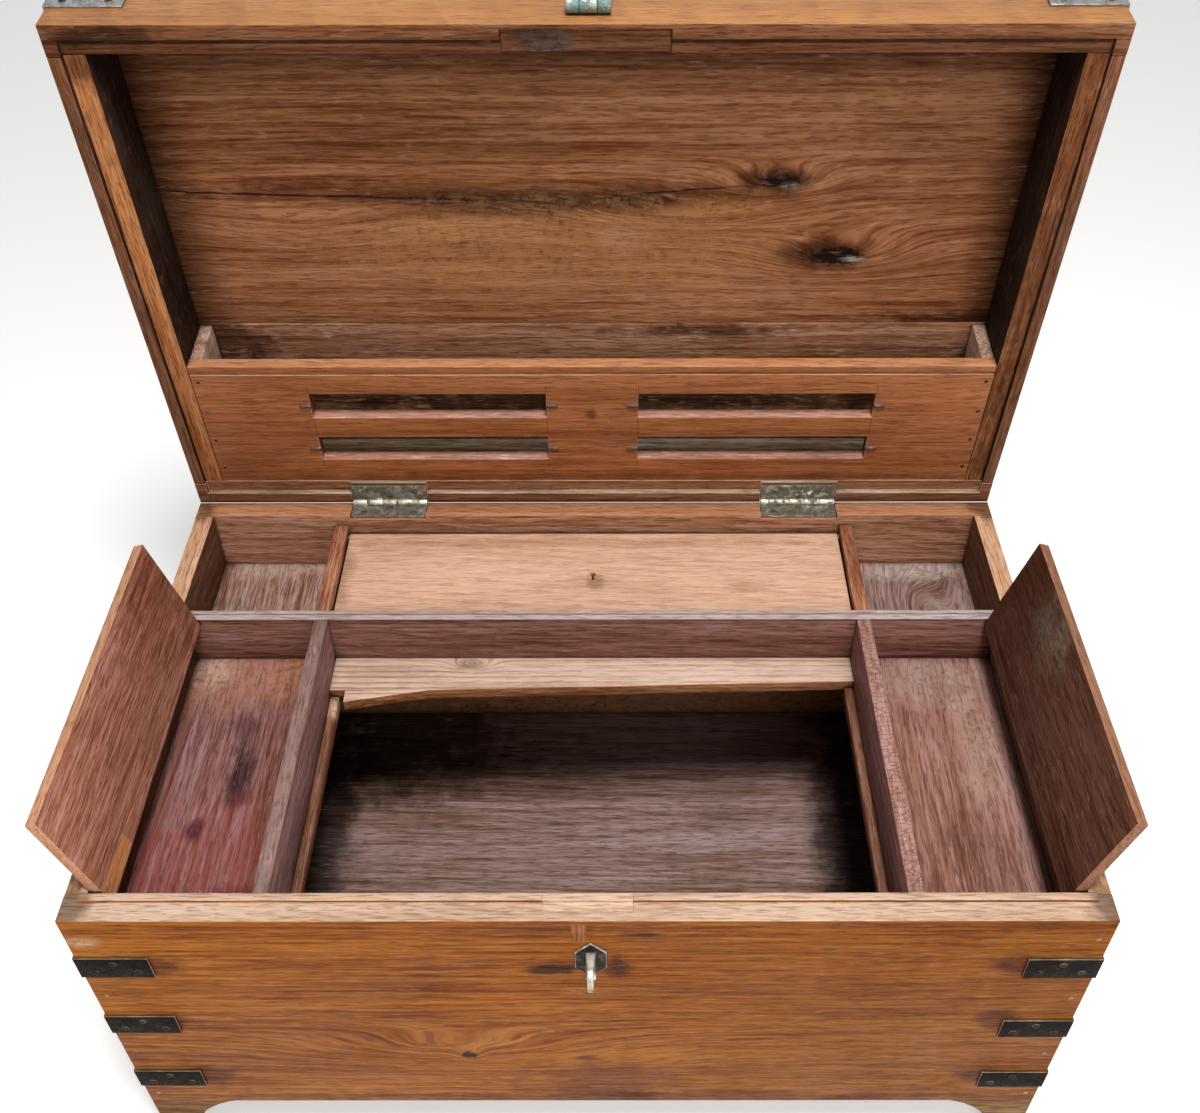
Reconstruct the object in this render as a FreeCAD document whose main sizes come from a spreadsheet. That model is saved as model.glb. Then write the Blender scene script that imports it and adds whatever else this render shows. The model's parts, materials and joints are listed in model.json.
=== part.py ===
"""Dowry chest: a boarded box with tills, an iron-strapped lid with a letter rack, and a hasp.

X runs to the right, Y to the back and Z up, in millimetres, with the floor at Z = 0. The box and its
closed lid are drawn about the middle of the box. The lid and the side till lids are then turned
open, and everything is moved so that the open chest stands centred over the origin.
"""
import FreeCAD, Part
import os
import Sketcher
from FreeCAD import Placement, Rotation, Vector

SIZES = {
    # box
    "width": 810,
    "depth": 498,
    "wall_height": 300,
    "front_thickness": 24,
    "end_thickness": 19,
    "bottom_thickness": 10,
    "bottom_inset": 12,
    "bottom_joint": 180,
    "lip_width": 7,
    "lip_height": 2.5,
    # feet
    "foot_height": 48,
    "foot_toe": 32,
    "foot_curve": 60,
    "foot_thickness": 20,
    # repairs in the front board
    "patch_length": 70,
    "patch_width": 15,
    "patch_drop": 22,
    "plug_offset": 7,
    "plug_width": 11,
    "plug_height": 24,
    "plug_top": 5,
    "plug_deep": 8,
    # tills
    "divider_drop": 9,
    "divider_reach": 82,
    "side_divider": 13,
    "cross_divider": 12,
    "well_width": 501,
    "back_till_depth": 126,
    "till_depth": 62,
    "till_board": 10,
    "runner_width": 8.5,
    "runner_height": 12,
    "runner_gap": 1,
    "rail_board": 12,
    "rail_right": 31,
    "rail_middle": 38.5,
    "rail_left": 42,
    "rail_tongue": 57,
    "tongue_length": 95,
    "tongue_gap": 15,
    # till lids
    "till_lid": 9,
    "pivot_inset": 9.7,
    "pivot_edge": 6,
    "side_lid_reach": 104,
    "side_lid_front_gap": 2,
    "lid_end_gap": 2,
    "side_lid_turn": 106,
    "centre_lid_drop": 16.5,
    "centre_lid_back_gap": 3,
    "pin_radius": 3.2,
    "pin_reach": 8,
    "pin_clearance": 0.1,
    "pin_hole_extra": 1,
    # lock of the centre till
    "lock_width": 44,
    "lock_length": 66,
    "lock_height": 11,
    "lock_wall": 2,
    "lock_setback": 1,
    "key_setback": 57,
    "key_radius": 2.8,
    "key_slot": 2.4,
    "key_length": 8,
    "bolt_width": 18,
    "bolt_length": 34,
    "bolt_height": 6,
    "bolt_throw": 7,
    "bolt_clearance": 0.3,
    "mortise_extra": 1,
    # lid
    "lid_open": 84,
    "lid_gap": 0.6,
    "lid_rail": 25,
    "lid_side_rail": 28,
    "lid_rail_height": 68,
    "lid_board": 14,
    "lid_joint": 174,
    "lid_band": 12,
    "lid_side_band": 11,
    "rebate": 5,
    "strike_length": 128,
    "strike_edge": 4,
    "strike_extra": 3,
    # letter rack
    "rack_height": 147,
    "rack_inset": 6,
    "rack_board": 12,
    "rack_end": 12,
    "slot_length": 226,
    "slot_height": 30,
    "slot_apart": 88,
    "slot_first": 29,
    "slot_spacing": 55,
    "bead_from_top": 8,
    "bead_width": 2,
    "bead_deep": 0.8,
    # hinges
    "hinge_length": 76,
    "hinge_offset": 209,
    "hinge_out": 0.5,
    "leaf": 2.2,
    "leaf_width": 22,
    "knuckle": 4.5,
    "knuckle_count": 5,
    "knuckle_gap": 0.3,
    "hinge_pin": 2,
    "hinge_clearance": 0.05,
    "relief": 0.6,
    # hasp and staple
    "hasp_offset": 2,
    "hasp_width": 33.5,
    "hasp_neck": 13,
    "hasp_plate": 2.5,
    "hasp_plate_height": 42,
    "hasp_up": 17,
    "hasp_knuckle": 6,
    "hasp_gap": 0.5,
    "hasp_strap": 3,
    "hasp_blade": 30,
    "hasp_length": 92,
    "hasp_slot_width": 12,
    "hasp_slot_length": 32,
    "staple_drop": 53,
    "staple_width": 25,
    "staple_height": 48,
    "staple_side": 22,
    "staple_plate": 2,
    "loop_reach": 26,
    "loop_height": 24,
    "loop_bar": 8,
    "loop_hole": 6.5,
    # straps
    "strap_leg": 58,
    "strap_width": 28,
    "strap_thickness": 1.6,
    "strap_top_left": 51,
    "strap_middle_left": 142,
    "strap_low_left": 33,
    "strap_top_right": 53,
    "strap_middle_right": 150,
    "strap_low_right": 30,
    "lid_strap_up": 26,
    # end handles
    "handle_drop": 118,
    "handle_plate": 3,
    "handle_plate_length": 130,
    "handle_plate_height": 34,
    "ear_apart": 92,
    "ear_thickness": 10,
    "ear_reach": 15,
    "ear_height": 16,
    "bail_out": 9,
    "bail_radius": 4,
    "bail_drop": 44,
    "bail_bend": 10,
    "bail_clearance": 0.1,
    # nails and screws
    "strap_nail": 3.2,
    "strap_nail_rise": 1.4,
    "small_nail": 2,
    "small_nail_rise": 0.5,
    "nail_shank": 1.2,
    "strap_nail_length": 12,
    "carcass_nail_length": 45,
    "rack_nail_length": 26,
    "screw_head": 3.4,
    "screw_head_height": 1.3,
    "screw_shank": 1.8,
    "screw_length": 16,
    "screw_slot": 0.8,
    "screw_clearance": 0.1,
}


class Size:
    """A length that carries both its number and the sheet expression that gives it."""

    def __init__(self, number, text):
        self.number = number
        self.text = text

    def __add__(self, other):
        other = as_size(other)
        return Size(self.number + other.number, f"({self.text} + {other.text})")

    def __sub__(self, other):
        other = as_size(other)
        return Size(self.number - other.number, f"({self.text} - {other.text})")

    def __mul__(self, other):
        other = as_size(other)
        return Size(self.number * other.number, f"({self.text} * {other.text})")

    def __truediv__(self, other):
        other = as_size(other)
        return Size(self.number / other.number, f"({self.text} / {other.text})")

    def __radd__(self, other):
        return as_size(other) + self

    def __rsub__(self, other):
        return as_size(other) - self

    def __rmul__(self, other):
        return as_size(other) * self

    def __neg__(self):
        return as_size(-1) * self


def as_size(value):
    if isinstance(value, Size):
        return value
    return Size(float(value), f"({float(value)!r})")


class Sheet:
    """The driving sizes, each an aliased cell of the spreadsheet and an attribute here."""

    def __init__(self, document, sizes):
        self.cells = document.addObject("Spreadsheet::Sheet", "sizes")
        for row, (name, value) in enumerate(sizes.items(), start=1):
            self.cells.set(f"A{row}", name)
            self.cells.set(f"B{row}", str(value))
            self.cells.setAlias(f"B{row}", name)
            setattr(self, name, Size(float(value), f"sizes.{name}"))


doc = FreeCAD.newDocument("dowry_chest")
s = Sheet(doc, SIZES)
doc.recompute()

parts = []
pockets = []

# Main planes of the box and of the closed lid
half_w = s.width / 2
half_d = s.depth / 2
floor_z = s.foot_height + s.bottom_thickness
rim = floor_z + s.wall_height
lip_top = rim + s.lip_height
in_x = half_w - s.end_thickness
in_y = half_d - s.front_thickness
lid_z = rim + s.lid_gap
lid_panel = lid_z + s.lid_rail_height
lid_top = lid_panel + s.lid_board
lid_in_x = half_w - s.lid_side_rail
lid_in_y = half_d - s.lid_rail

# Planes of the tills
divider_top = rim - s.divider_drop
divider_low = rim - s.divider_reach
well = s.well_width / 2
divider_out = well + s.side_divider
cross_back = in_y - s.back_till_depth
cross_front = cross_back - s.cross_divider
till_floor = rim - s.till_depth
till_under = till_floor - s.till_board
side_pivot_x = in_x - s.pivot_inset
side_pivot_z = divider_top - s.till_lid / 2
side_lid_front = s.side_lid_front_gap - in_y
side_lid_back = cross_front - s.lid_end_gap
centre_top = rim - s.centre_lid_drop
centre_under = centre_top - s.till_lid
centre_front = cross_back + s.lid_end_gap
centre_back = in_y - s.centre_lid_back_gap
centre_pivot_y = centre_back - s.till_lid / 2
centre_pivot_z = centre_top - s.till_lid / 2
bolt_top = centre_under - s.lock_wall
bolt_low = bolt_top - s.bolt_height
lock_front = centre_front + s.lock_setback
pin_hole = s.pin_radius + s.pin_clearance
pin_hole_depth = s.pin_reach + s.pin_hole_extra

# Axes of the lid hinges and of the hasp, with the lid closed
hinge_y = half_d + s.hinge_out
hinge_z = rim + s.lid_gap / 2
hasp_y = -half_d - s.hasp_gap - s.hasp_knuckle
hasp_z = lid_z + s.hasp_up
staple_z = rim - s.staple_drop
rack_top = lid_in_y - s.rack_height
rack_face = lid_z + s.rack_inset
rack_back = rack_face + s.rack_board
handle_z = rim - s.handle_drop
bail_x = half_w + s.handle_plate + s.bail_out


def turn_about(y, z, axis, degrees, x=0.0):
    """Placement that turns a piece about an axis through (x, y, z)."""
    return Placement(Vector(), Rotation(axis, degrees), Vector(x, y, z))


def move_to_stand():
    """Shift along Y that centres the open chest, from the staple's nose to the lid's lower back edge."""
    front = -(half_d + s.staple_plate + s.loop_reach).number
    corner = Vector(0, half_d.number, lid_top.number)
    back = open_lid.multVec(corner).y
    return Placement(Vector(0, -(front + back) / 2, 0), Rotation())


open_lid = turn_about(hinge_y.number, hinge_z.number, Vector(-1, 0, 0), s.lid_open.number)
closed = Placement()
stand = move_to_stand()


def keep(piece, label, pose=closed):
    """Name a finished piece and set it in its resting place."""
    piece.Label = label
    piece.Placement = stand.multiply(pose)
    parts.append(piece)
    return piece


def new_body(label, pose=closed):
    return keep(doc.addObject("PartDesign::Body", label), label, pose)


def span(first, second):
    """The two bounds in rising order."""
    first = as_size(first)
    second = as_size(second)
    return (first, second) if first.number < second.number else (second, first)


def rect(across, along):
    """Corners of a rectangle from two spans."""
    (a, b), (c, d) = span(*across), span(*along)
    return [(a, c), (b, c), (b, d), (a, d)]


def disc(across, along, radius):
    return (as_size(across), as_size(along), as_size(radius))


def bind(sketch, kind, geometry, point, value):
    constraint = sketch.addConstraint(Sketcher.Constraint(kind, -1, 1, geometry, point, value.number))
    sketch.setExpression(f"Constraints[{constraint}]", value.text)


def draw_disc(sketch, across, along, radius):
    centre = Vector(across.number, along.number, 0)
    circle = sketch.addGeometry(Part.Circle(centre, Vector(0, 0, 1), radius.number), False)
    bind(sketch, "DistanceX", circle, 3, across)
    bind(sketch, "DistanceY", circle, 3, along)
    constraint = sketch.addConstraint(Sketcher.Constraint("Radius", circle, radius.number))
    sketch.setExpression(f"Constraints[{constraint}]", radius.text)


def draw_outline(sketch, corners):
    first = sketch.GeometryCount
    count = len(corners)
    points = [Vector(x.number, y.number, 0) for x, y in corners]
    for i in range(count):
        sketch.addGeometry(Part.LineSegment(points[i], points[(i + 1) % count]), False)
    for i in range(count):
        following = first + (i + 1) % count
        sketch.addConstraint(Sketcher.Constraint("Coincident", first + i, 2, following, 1))
    for i, (x, y) in enumerate(corners):
        bind(sketch, "DistanceX", first + i, 1, x)
        bind(sketch, "DistanceY", first + i, 1, y)


def sketch_on(body, plane, bounds, shapes):
    """Sketch of outlines and discs on an origin plane, set at the bound where its feature starts."""
    low, high = span(*bounds)
    start = -high if plane == "XZ_Plane" else low
    sketch = body.newObject("Sketcher::SketchObject", body.Label + "_sketch")
    base = [feature for feature in body.Origin.OriginFeatures if feature.Role == plane][0]
    sketch.AttachmentSupport = (base, [""])
    sketch.MapMode = "FlatFace"
    sketch.setExpression(".AttachmentOffset.Base.z", start.text)
    for shape in shapes:
        if isinstance(shape, tuple):
            draw_disc(sketch, *shape)
        else:
            draw_outline(sketch, shape)
    return sketch, high - low


def pad(body, plane, bounds, *shapes):
    sketch, length = sketch_on(body, plane, bounds, shapes)
    feature = body.newObject("PartDesign::Pad", body.Label + "_pad")
    feature.Profile = sketch
    feature.setExpression("Length", length.text)


def pocket(body, plane, bounds, *shapes):
    sketch, length = sketch_on(body, plane, bounds, shapes)
    feature = body.newObject("PartDesign::Pocket", body.Label + "_pocket")
    feature.Profile = sketch
    feature.Reversed = True
    feature.setExpression("Length", length.text)
    pockets.append(feature)


def slab(label, x, y, z, pose=closed):
    """A square-edged board."""
    body = new_body(label, pose)
    pad(body, "XY_Plane", z, rect(x, y))
    return body


def group(label, solids, pose=closed):
    """Separate equal pieces that share one node."""
    feature = doc.addObject("Part::Feature", label)
    feature.Shape = Part.makeCompound(solids)
    keep(feature, label, pose)


def nail(radius, rise, length):
    """A nail whose head lies on the plane Z = 0 and whose shank points down."""
    crown = Part.makeCone(radius, radius / 2, rise)
    shank = Part.makeCylinder(s.nail_shank.number, length, Vector(), Vector(0, 0, -1))
    return crown.fuse(shank).removeSplitter()


def screw():
    """A slotted screw whose head ends on the plane Z = 0 and whose shank points down."""
    down = Vector(0, 0, -1)
    head = Part.makeCylinder(s.screw_head.number, s.screw_head_height.number, Vector(), down)
    shank = Part.makeCylinder(s.screw_shank.number, s.screw_length.number, Vector(), down)
    across = 2 * s.screw_head.number
    deep = s.screw_head_height.number / 2
    wide = s.screw_slot.number
    cut = Part.makeBox(across, wide, deep, Vector(-across / 2, -wide / 2, -deep))
    return head.fuse(shank).cut(cut)


def driven(shape, outward, *points):
    """Copies of a nail or screw driven in at the points, with their heads facing outward."""
    copies = []
    for point in points:
        copy = shape.copy()
        copy.Placement = Placement(Vector(*point), Rotation(Vector(0, 0, 1), Vector(*outward)))
        copies.append(copy)
    return copies


# Box boards, with a raised lip along the inside of the rim


def hinge_middles():
    return (-s.hinge_offset, s.hinge_offset)


def hinge_span(middle):
    return (middle - s.hinge_length / 2 - s.relief, middle + s.hinge_length / 2 + s.relief)


def front_or_back(label, side):
    body = slab(label, (-half_w, half_w), (side * in_y, side * half_d), (floor_z, rim))
    lip_x = in_x + s.lip_width
    pad(body, "XY_Plane", (rim, lip_top), rect((-lip_x, lip_x), (side * in_y, side * (in_y + s.lip_width))))
    return body


front = front_or_back("front_board", -1)
patch_half = s.patch_length / 2
patch_y = (-in_y - s.patch_width, -in_y)
patch_z = (rim - s.patch_drop, lip_top)
pocket(front, "XY_Plane", patch_z, rect((-patch_half, patch_half), patch_y))
plug_x = (-s.plug_offset - s.plug_width / 2, -s.plug_offset + s.plug_width / 2)
plug_y = (-half_d, -half_d + s.plug_deep)
plug_z = (rim - s.plug_top - s.plug_height, rim - s.plug_top)
pocket(front, "XZ_Plane", plug_y, rect(plug_x, plug_z))
side_pins = [disc(side * side_pivot_x, side_pivot_z, pin_hole) for side in (-1, 1)]
pocket(front, "XZ_Plane", (-in_y - pin_hole_depth, -in_y), *side_pins)

patch = slab("front_rim_patch", (-patch_half, patch_half), patch_y, (rim - s.patch_drop, rim))
patch_lip = (-in_y - s.lip_width, -in_y)
pad(patch, "XY_Plane", (rim, lip_top), rect((-patch_half, patch_half), patch_lip))
slab("keyhole_plug", plug_x, plug_y, plug_z)

back = front_or_back("back_board", 1)
for middle in hinge_middles():
    pocket(back, "XY_Plane", (rim - s.leaf, lip_top), rect(hinge_span(middle), (in_y, half_d)))
    barrel = disc(hinge_y, hinge_z, s.knuckle + s.relief)
    pocket(back, "YZ_Plane", hinge_span(middle), barrel)

for side, name in ((-1, "left"), (1, "right")):
    end = slab(name + "_end_board", (side * in_x, side * half_w), (-in_y, in_y), (floor_z, rim))
    lip_x = (side * in_x, side * (in_x + s.lip_width))
    pad(end, "XY_Plane", (rim, lip_top), rect(lip_x, (-in_y, in_y)))

# Bottom planks under the boards, set in from the outside
joint_y = -half_d + s.bottom_joint
bottom_x = half_w - s.bottom_inset
bottom_y = half_d - s.bottom_inset
slab("bottom_front_plank", (-bottom_x, bottom_x), (-bottom_y, joint_y), (s.foot_height, floor_z))
slab("bottom_back_plank", (-bottom_x, bottom_x), (joint_y, bottom_y), (s.foot_height, floor_z))

# Bracket feet, each rebated for the bottom and with a hollow curve on both inner sides


def foot(label, side, end):
    body = new_body(label)
    reach = s.foot_toe + s.foot_curve
    x_wall = (side * half_w, side * (half_w - s.foot_thickness))
    y_wall = (end * half_d, end * (half_d - s.foot_thickness))
    x_run = (side * half_w, side * (half_w - reach))
    y_run = (end * half_d, end * (half_d - reach))
    pad(body, "XZ_Plane", y_wall, rect(x_run, (0, s.foot_height)))
    pad(body, "XZ_Plane", (end * half_d, end * bottom_y), rect(x_run, (0, floor_z)))
    pocket(body, "XZ_Plane", y_wall, disc(side * (half_w - reach), 0, s.foot_curve))
    pad(body, "YZ_Plane", x_wall, rect(y_run, (0, s.foot_height)))
    pad(body, "YZ_Plane", (side * half_w, side * bottom_x), rect(y_run, (0, floor_z)))
    pocket(body, "YZ_Plane", x_wall, disc(end * (half_d - reach), 0, s.foot_curve))


for side, across in ((-1, "left"), (1, "right")):
    for end, along in ((-1, "front"), (1, "rear")):
        foot(f"{along}_{across}_foot", side, end)

# Dividers, till floors and the strips under them
cross = slab("cross_divider", (-in_x, in_x), (cross_front, cross_back), (till_floor, divider_top))
pocket(cross, "XZ_Plane", (cross_front, cross_front + pin_hole_depth), *side_pins)
mortise_half = s.bolt_width / 2 + s.mortise_extra
mortise_x = (-mortise_half, mortise_half)
mortise_z = (bolt_low - s.mortise_extra, bolt_top + s.mortise_extra)
bolt_nose = lock_front + s.bolt_clearance
mortise_y = (bolt_nose - s.bolt_throw - s.mortise_extra, cross_back)
pocket(cross, "XZ_Plane", mortise_y, rect(mortise_x, mortise_z))

centre_pin = disc(centre_pivot_y, centre_pivot_z, pin_hole)
for side, name in ((-1, "left"), (1, "right")):
    wall_x = (side * well, side * divider_out)
    slab(f"{name}_divider", wall_x, (-in_y, cross_front), (divider_low, divider_top))
    rear = slab(f"rear_{name}_divider", wall_x, (cross_back, in_y), (till_floor, divider_top))
    pocket(rear, "YZ_Plane", (side * well, side * (well + pin_hole_depth)), centre_pin)
    floor_x = (side * divider_out, side * in_x)
    slab(f"{name}_till_floor", floor_x, (-in_y, cross_front), (till_under, till_floor))
    runner_x = (side * well, side * (well - s.runner_width))
    ledge = s.rail_left if side < 0 else s.rail_right
    runner_y = (-in_y, cross_front - ledge - s.runner_gap)
    slab(f"{name}_runner", runner_x, runner_y, (divider_low, divider_low + s.runner_height))
slab("back_till_floor", (-in_x, in_x), (cross_back, in_y), (till_under, till_floor))

# Flat rail under the cross divider, its uneven front edge and split tongue standing out over the well
rail = new_body("rear_rail")
tongue_end = s.tongue_length - well
rail_outline = [
    (-well, cross_back),
    (well, cross_back),
    (well, cross_front - s.rail_right),
    (as_size(0), cross_front - s.rail_middle),
    (tongue_end, cross_front - s.rail_left),
    (s.tongue_gap - well, cross_front - s.rail_tongue),
    (s.tongue_gap - well, cross_front - s.rail_left),
    (-well, cross_front - s.rail_left),
]
pad(rail, "XY_Plane", (till_floor - s.rail_board, till_floor), rail_outline)

# Till lids, each with a round pivot edge and pins at both ends of it


def side_till_lid(label, side):
    pose = turn_about(0, side_pivot_z.number, Vector(0, side, 0), s.side_lid_turn.number,
                      (side * side_pivot_x).number)
    body = new_body(label, pose)
    low = divider_top - s.till_lid
    edge = side_pivot_x + s.pivot_edge - s.till_lid / 2
    length = (side_lid_front, side_lid_back)
    across = (side * edge, side * (side_pivot_x - s.side_lid_reach))
    pad(body, "XZ_Plane", length, rect(across, (low, divider_top)))
    pad(body, "XZ_Plane", length, disc(side * edge, side_pivot_z, s.till_lid / 2))
    pins = (-in_y - s.pin_reach, cross_front + s.pin_reach)
    pad(body, "XZ_Plane", pins, disc(side * side_pivot_x, side_pivot_z, s.pin_radius))


side_till_lid("left_till_lid", -1)
side_till_lid("right_till_lid", 1)

centre_lid = new_body("centre_till_lid")
lid_half = well - s.lid_end_gap
centre_section = rect((centre_front, centre_pivot_y), (centre_under, centre_top))
pad(centre_lid, "YZ_Plane", (-lid_half, lid_half), centre_section)
pad(centre_lid, "YZ_Plane", (-lid_half, lid_half), disc(centre_pivot_y, centre_pivot_z, s.till_lid / 2))
pin_end = well + s.pin_reach
pad(centre_lid, "YZ_Plane", (-pin_end, pin_end), disc(centre_pivot_y, centre_pivot_z, s.pin_radius))
key_y = centre_front + s.key_setback
pocket(centre_lid, "XY_Plane", (centre_under, centre_top), disc(0, key_y, s.key_radius))
key_slot = rect((-s.key_slot / 2, s.key_slot / 2), (key_y - s.key_length, key_y))
pocket(centre_lid, "XY_Plane", (centre_under, centre_top), key_slot)

# Lock under the centre till lid, its bolt drawn back
lock_half = s.lock_width / 2
lock_y = (lock_front, lock_front + s.lock_length)
lock_low = centre_under - s.lock_height
case = slab("till_lock_case", (-lock_half, lock_half), lock_y, (lock_low, centre_under))
hollow_half = lock_half - s.lock_wall
hollow_y = (lock_front + s.lock_wall, lock_front + s.lock_length - s.lock_wall)
pocket(case, "XY_Plane", (lock_low + s.lock_wall, centre_under), rect((-hollow_half, hollow_half), hollow_y))
bolt_half = s.bolt_width / 2
gate_half = bolt_half + s.bolt_clearance
gate_z = (bolt_low - s.bolt_clearance, bolt_top + s.bolt_clearance)
pocket(case, "XZ_Plane", (lock_front, lock_front + s.lock_wall), rect((-gate_half, gate_half), gate_z))
bolt_y = (bolt_nose, bolt_nose + s.bolt_length)
slab("till_lock_bolt", (-bolt_half, bolt_half), bolt_y, (bolt_low, bolt_top))

# Lid rails, with a rebate that fits over the lip of the box
rebate_z = (lid_z, lid_z + s.rebate)
rebate_x = half_w - s.lid_side_band


def lid_rail(label, side):
    return slab(label, (-half_w, half_w), (side * lid_in_y, side * half_d), (lid_z, lid_panel), open_lid)


lid_front = lid_rail("lid_front_rail", -1)
rebate_y = half_d - s.lid_band
pocket(lid_front, "XY_Plane", rebate_z, rect((-rebate_x, rebate_x), (-lid_in_y, -rebate_y)))
strike_half = s.strike_length / 2
strike_y = (-half_d + s.strike_edge, -lid_in_y)
strike_z = (lid_z, lid_z + s.rebate + s.strike_extra)
pocket(lid_front, "XY_Plane", strike_z, rect((-strike_half, strike_half), strike_y))

lid_back = lid_rail("lid_back_rail", 1)
bounds = [-rebate_x]
for middle in hinge_middles():
    bounds.extend(hinge_span(middle))
bounds.append(rebate_x)
for first, last in zip(bounds[::2], bounds[1::2]):
    pocket(lid_back, "XY_Plane", rebate_z, rect((first, last), (lid_in_y, rebate_y)))
for middle in hinge_middles():
    pocket(lid_back, "XY_Plane", (lid_z, lid_z + s.leaf), rect(hinge_span(middle), (lid_in_y, half_d)))
    pocket(lid_back, "YZ_Plane", hinge_span(middle), disc(hinge_y, hinge_z, s.knuckle + s.relief))

for side, name in ((-1, "left"), (1, "right")):
    rail_x = (side * lid_in_x, side * half_w)
    rail = slab(f"lid_{name}_rail", rail_x, (-lid_in_y, lid_in_y), (lid_z, lid_panel), open_lid)
    pocket(rail, "XY_Plane", rebate_z, rect((side * lid_in_x, side * rebate_x), (-lid_in_y, lid_in_y)))

lid_joint_y = half_d - s.lid_joint
slab("lid_main_plank", (-half_w, half_w), (-half_d, lid_joint_y), (lid_panel, lid_top), open_lid)
slab("lid_rear_plank", (-half_w, half_w), (lid_joint_y, half_d), (lid_panel, lid_top), open_lid)

# Letter rack in the lid: a slotted board on two ends
rack = slab("rack_front_board", (-lid_in_x, lid_in_x), (rack_top, lid_in_y), (rack_face, rack_back), open_lid)
slot_rows = (lid_in_y - s.slot_first, lid_in_y - s.slot_first - s.slot_spacing)
slots = []
for row in slot_rows:
    for side in (-1, 1):
        slot_x = (side * s.slot_apart / 2, side * (s.slot_apart / 2 + s.slot_length))
        slots.append(rect(slot_x, (row, row - s.slot_height)))
pocket(rack, "XY_Plane", (rack_face, rack_back), *slots)
bead_y = rack_top + s.bead_from_top
bead = rect((-lid_in_x, lid_in_x), (bead_y, bead_y + s.bead_width))
pocket(rack, "XY_Plane", (rack_face, rack_face + s.bead_deep), bead)
for side, name in ((-1, "left"), (1, "right")):
    end_x = (side * lid_in_x, side * (lid_in_x - s.rack_end))
    slab(f"rack_{name}_end", end_x, (rack_top, lid_in_y), (rack_back, lid_panel), open_lid)

# Butt hinges: plates, knuckles and pins


def hinge_leaf(label, middle, plate_z, knuckles, inward, pose):
    """A leaf let into a rim, with its own knuckles on the common pin."""
    body = new_body(label, pose)
    start = middle - s.hinge_length / 2
    edge = hinge_y - s.knuckle - s.relief
    whole = (start, start + s.hinge_length)
    pad(body, "XY_Plane", plate_z, rect(whole, (edge, half_d - s.leaf_width)))
    step = s.hinge_length / s.knuckle_count
    for index in knuckles:
        own = (start + step * index + s.knuckle_gap / 2, start + step * (index + 1) - s.knuckle_gap / 2)
        pad(body, "XY_Plane", plate_z, rect(own, (edge, hinge_y - s.hinge_pin)))
        pad(body, "YZ_Plane", own, disc(hinge_y, hinge_z, s.knuckle))
    bore = disc(hinge_y, hinge_z, s.hinge_pin + s.hinge_clearance)
    pocket(body, "YZ_Plane", whole, bore)
    face = plate_z[1] if inward > 0 else plate_z[0]
    holes = [disc(x, y, s.screw_shank + s.screw_clearance) for x, y in leaf_screws(middle)]
    pocket(body, "XY_Plane", plate_z, *holes)
    sinks = [disc(x, y, s.screw_head + s.screw_clearance) for x, y in leaf_screws(middle)]
    pocket(body, "XY_Plane", (face, face - inward * s.screw_head_height), *sinks)


def leaf_screws(middle):
    """Three screw places on a leaf, the middle one set nearer the knuckles."""
    step = s.hinge_length / 3
    line = half_d - s.leaf_width / 2
    jog = s.screw_head
    return ((middle - step, line - jog), (middle, line + jog), (middle + step, line - jog))


low_plate = (rim - s.leaf, rim)
high_plate = (lid_z, lid_z + s.leaf)
box_screws = []
lid_screws = []
pins = []
for middle, name in zip(hinge_middles(), ("left", "right")):
    hinge_leaf(f"{name}_hinge_box_leaf", middle, low_plate, (0, 2, 4), 1, closed)
    hinge_leaf(f"{name}_hinge_lid_leaf", middle, high_plate, (1, 3), -1, open_lid)
    places = [(x.number, y.number) for x, y in leaf_screws(middle)]
    box_screws += driven(screw(), (0, 0, 1), *[(x, y, rim.number) for x, y in places])
    lid_screws += driven(screw(), (0, 0, -1), *[(x, y, lid_z.number) for x, y in places])
    start = Vector((middle - s.hinge_length / 2).number, hinge_y.number, hinge_z.number)
    pins.append(Part.makeCylinder(s.hinge_pin.number, s.hinge_length.number, start, Vector(1, 0, 0)))
group("hinge_pins", pins)

# Hasp: a plate with two knuckles on the lid, and a slotted strap folded back over it
hasp_x = (s.hasp_offset - s.hasp_width / 2, s.hasp_offset + s.hasp_width / 2)
neck_x = (s.hasp_offset - s.hasp_neck / 2, s.hasp_offset + s.hasp_neck / 2)
plate_low = hasp_z + s.hasp_knuckle + s.hasp_gap
plate_high = hasp_z + s.hasp_plate_height
plate_y = (-half_d - s.hasp_plate, -half_d)
plate = new_body("hasp_plate", open_lid)
pad(plate, "XZ_Plane", plate_y, rect(hasp_x, (plate_low, plate_high)))
for near, far in ((hasp_x[0], neck_x[0] - s.hasp_gap), (neck_x[1] + s.hasp_gap, hasp_x[1])):
    pad(plate, "XZ_Plane", plate_y, rect((near, far), (hasp_z, plate_low)))
    pad(plate, "YZ_Plane", (near, far), disc(hasp_y, hasp_z, s.hasp_knuckle))
pocket(plate, "YZ_Plane", hasp_x, disc(hasp_y, hasp_z, s.hinge_pin + s.hinge_clearance))
screw_line = (plate_low + plate_high) / 2
screw_step = s.hasp_width / 4
plate_screws = [(s.hasp_offset + side * screw_step, screw_line + row * screw_step)
                for side in (-1, 1) for row in (-1, 1)]
holes = [disc(x, z, s.screw_shank + s.screw_clearance) for x, z in plate_screws]
pocket(plate, "XZ_Plane", plate_y, *holes)
sinks = [disc(x, z, s.screw_head + s.screw_clearance) for x, z in plate_screws]
pocket(plate, "XZ_Plane", (plate_y[0], plate_y[0] + s.screw_head_height), *sinks)
face_y = plate_y[0].number
lid_screws += driven(screw(), (0, -1, 0), *[(x.number, face_y, z.number) for x, z in plate_screws])

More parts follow.
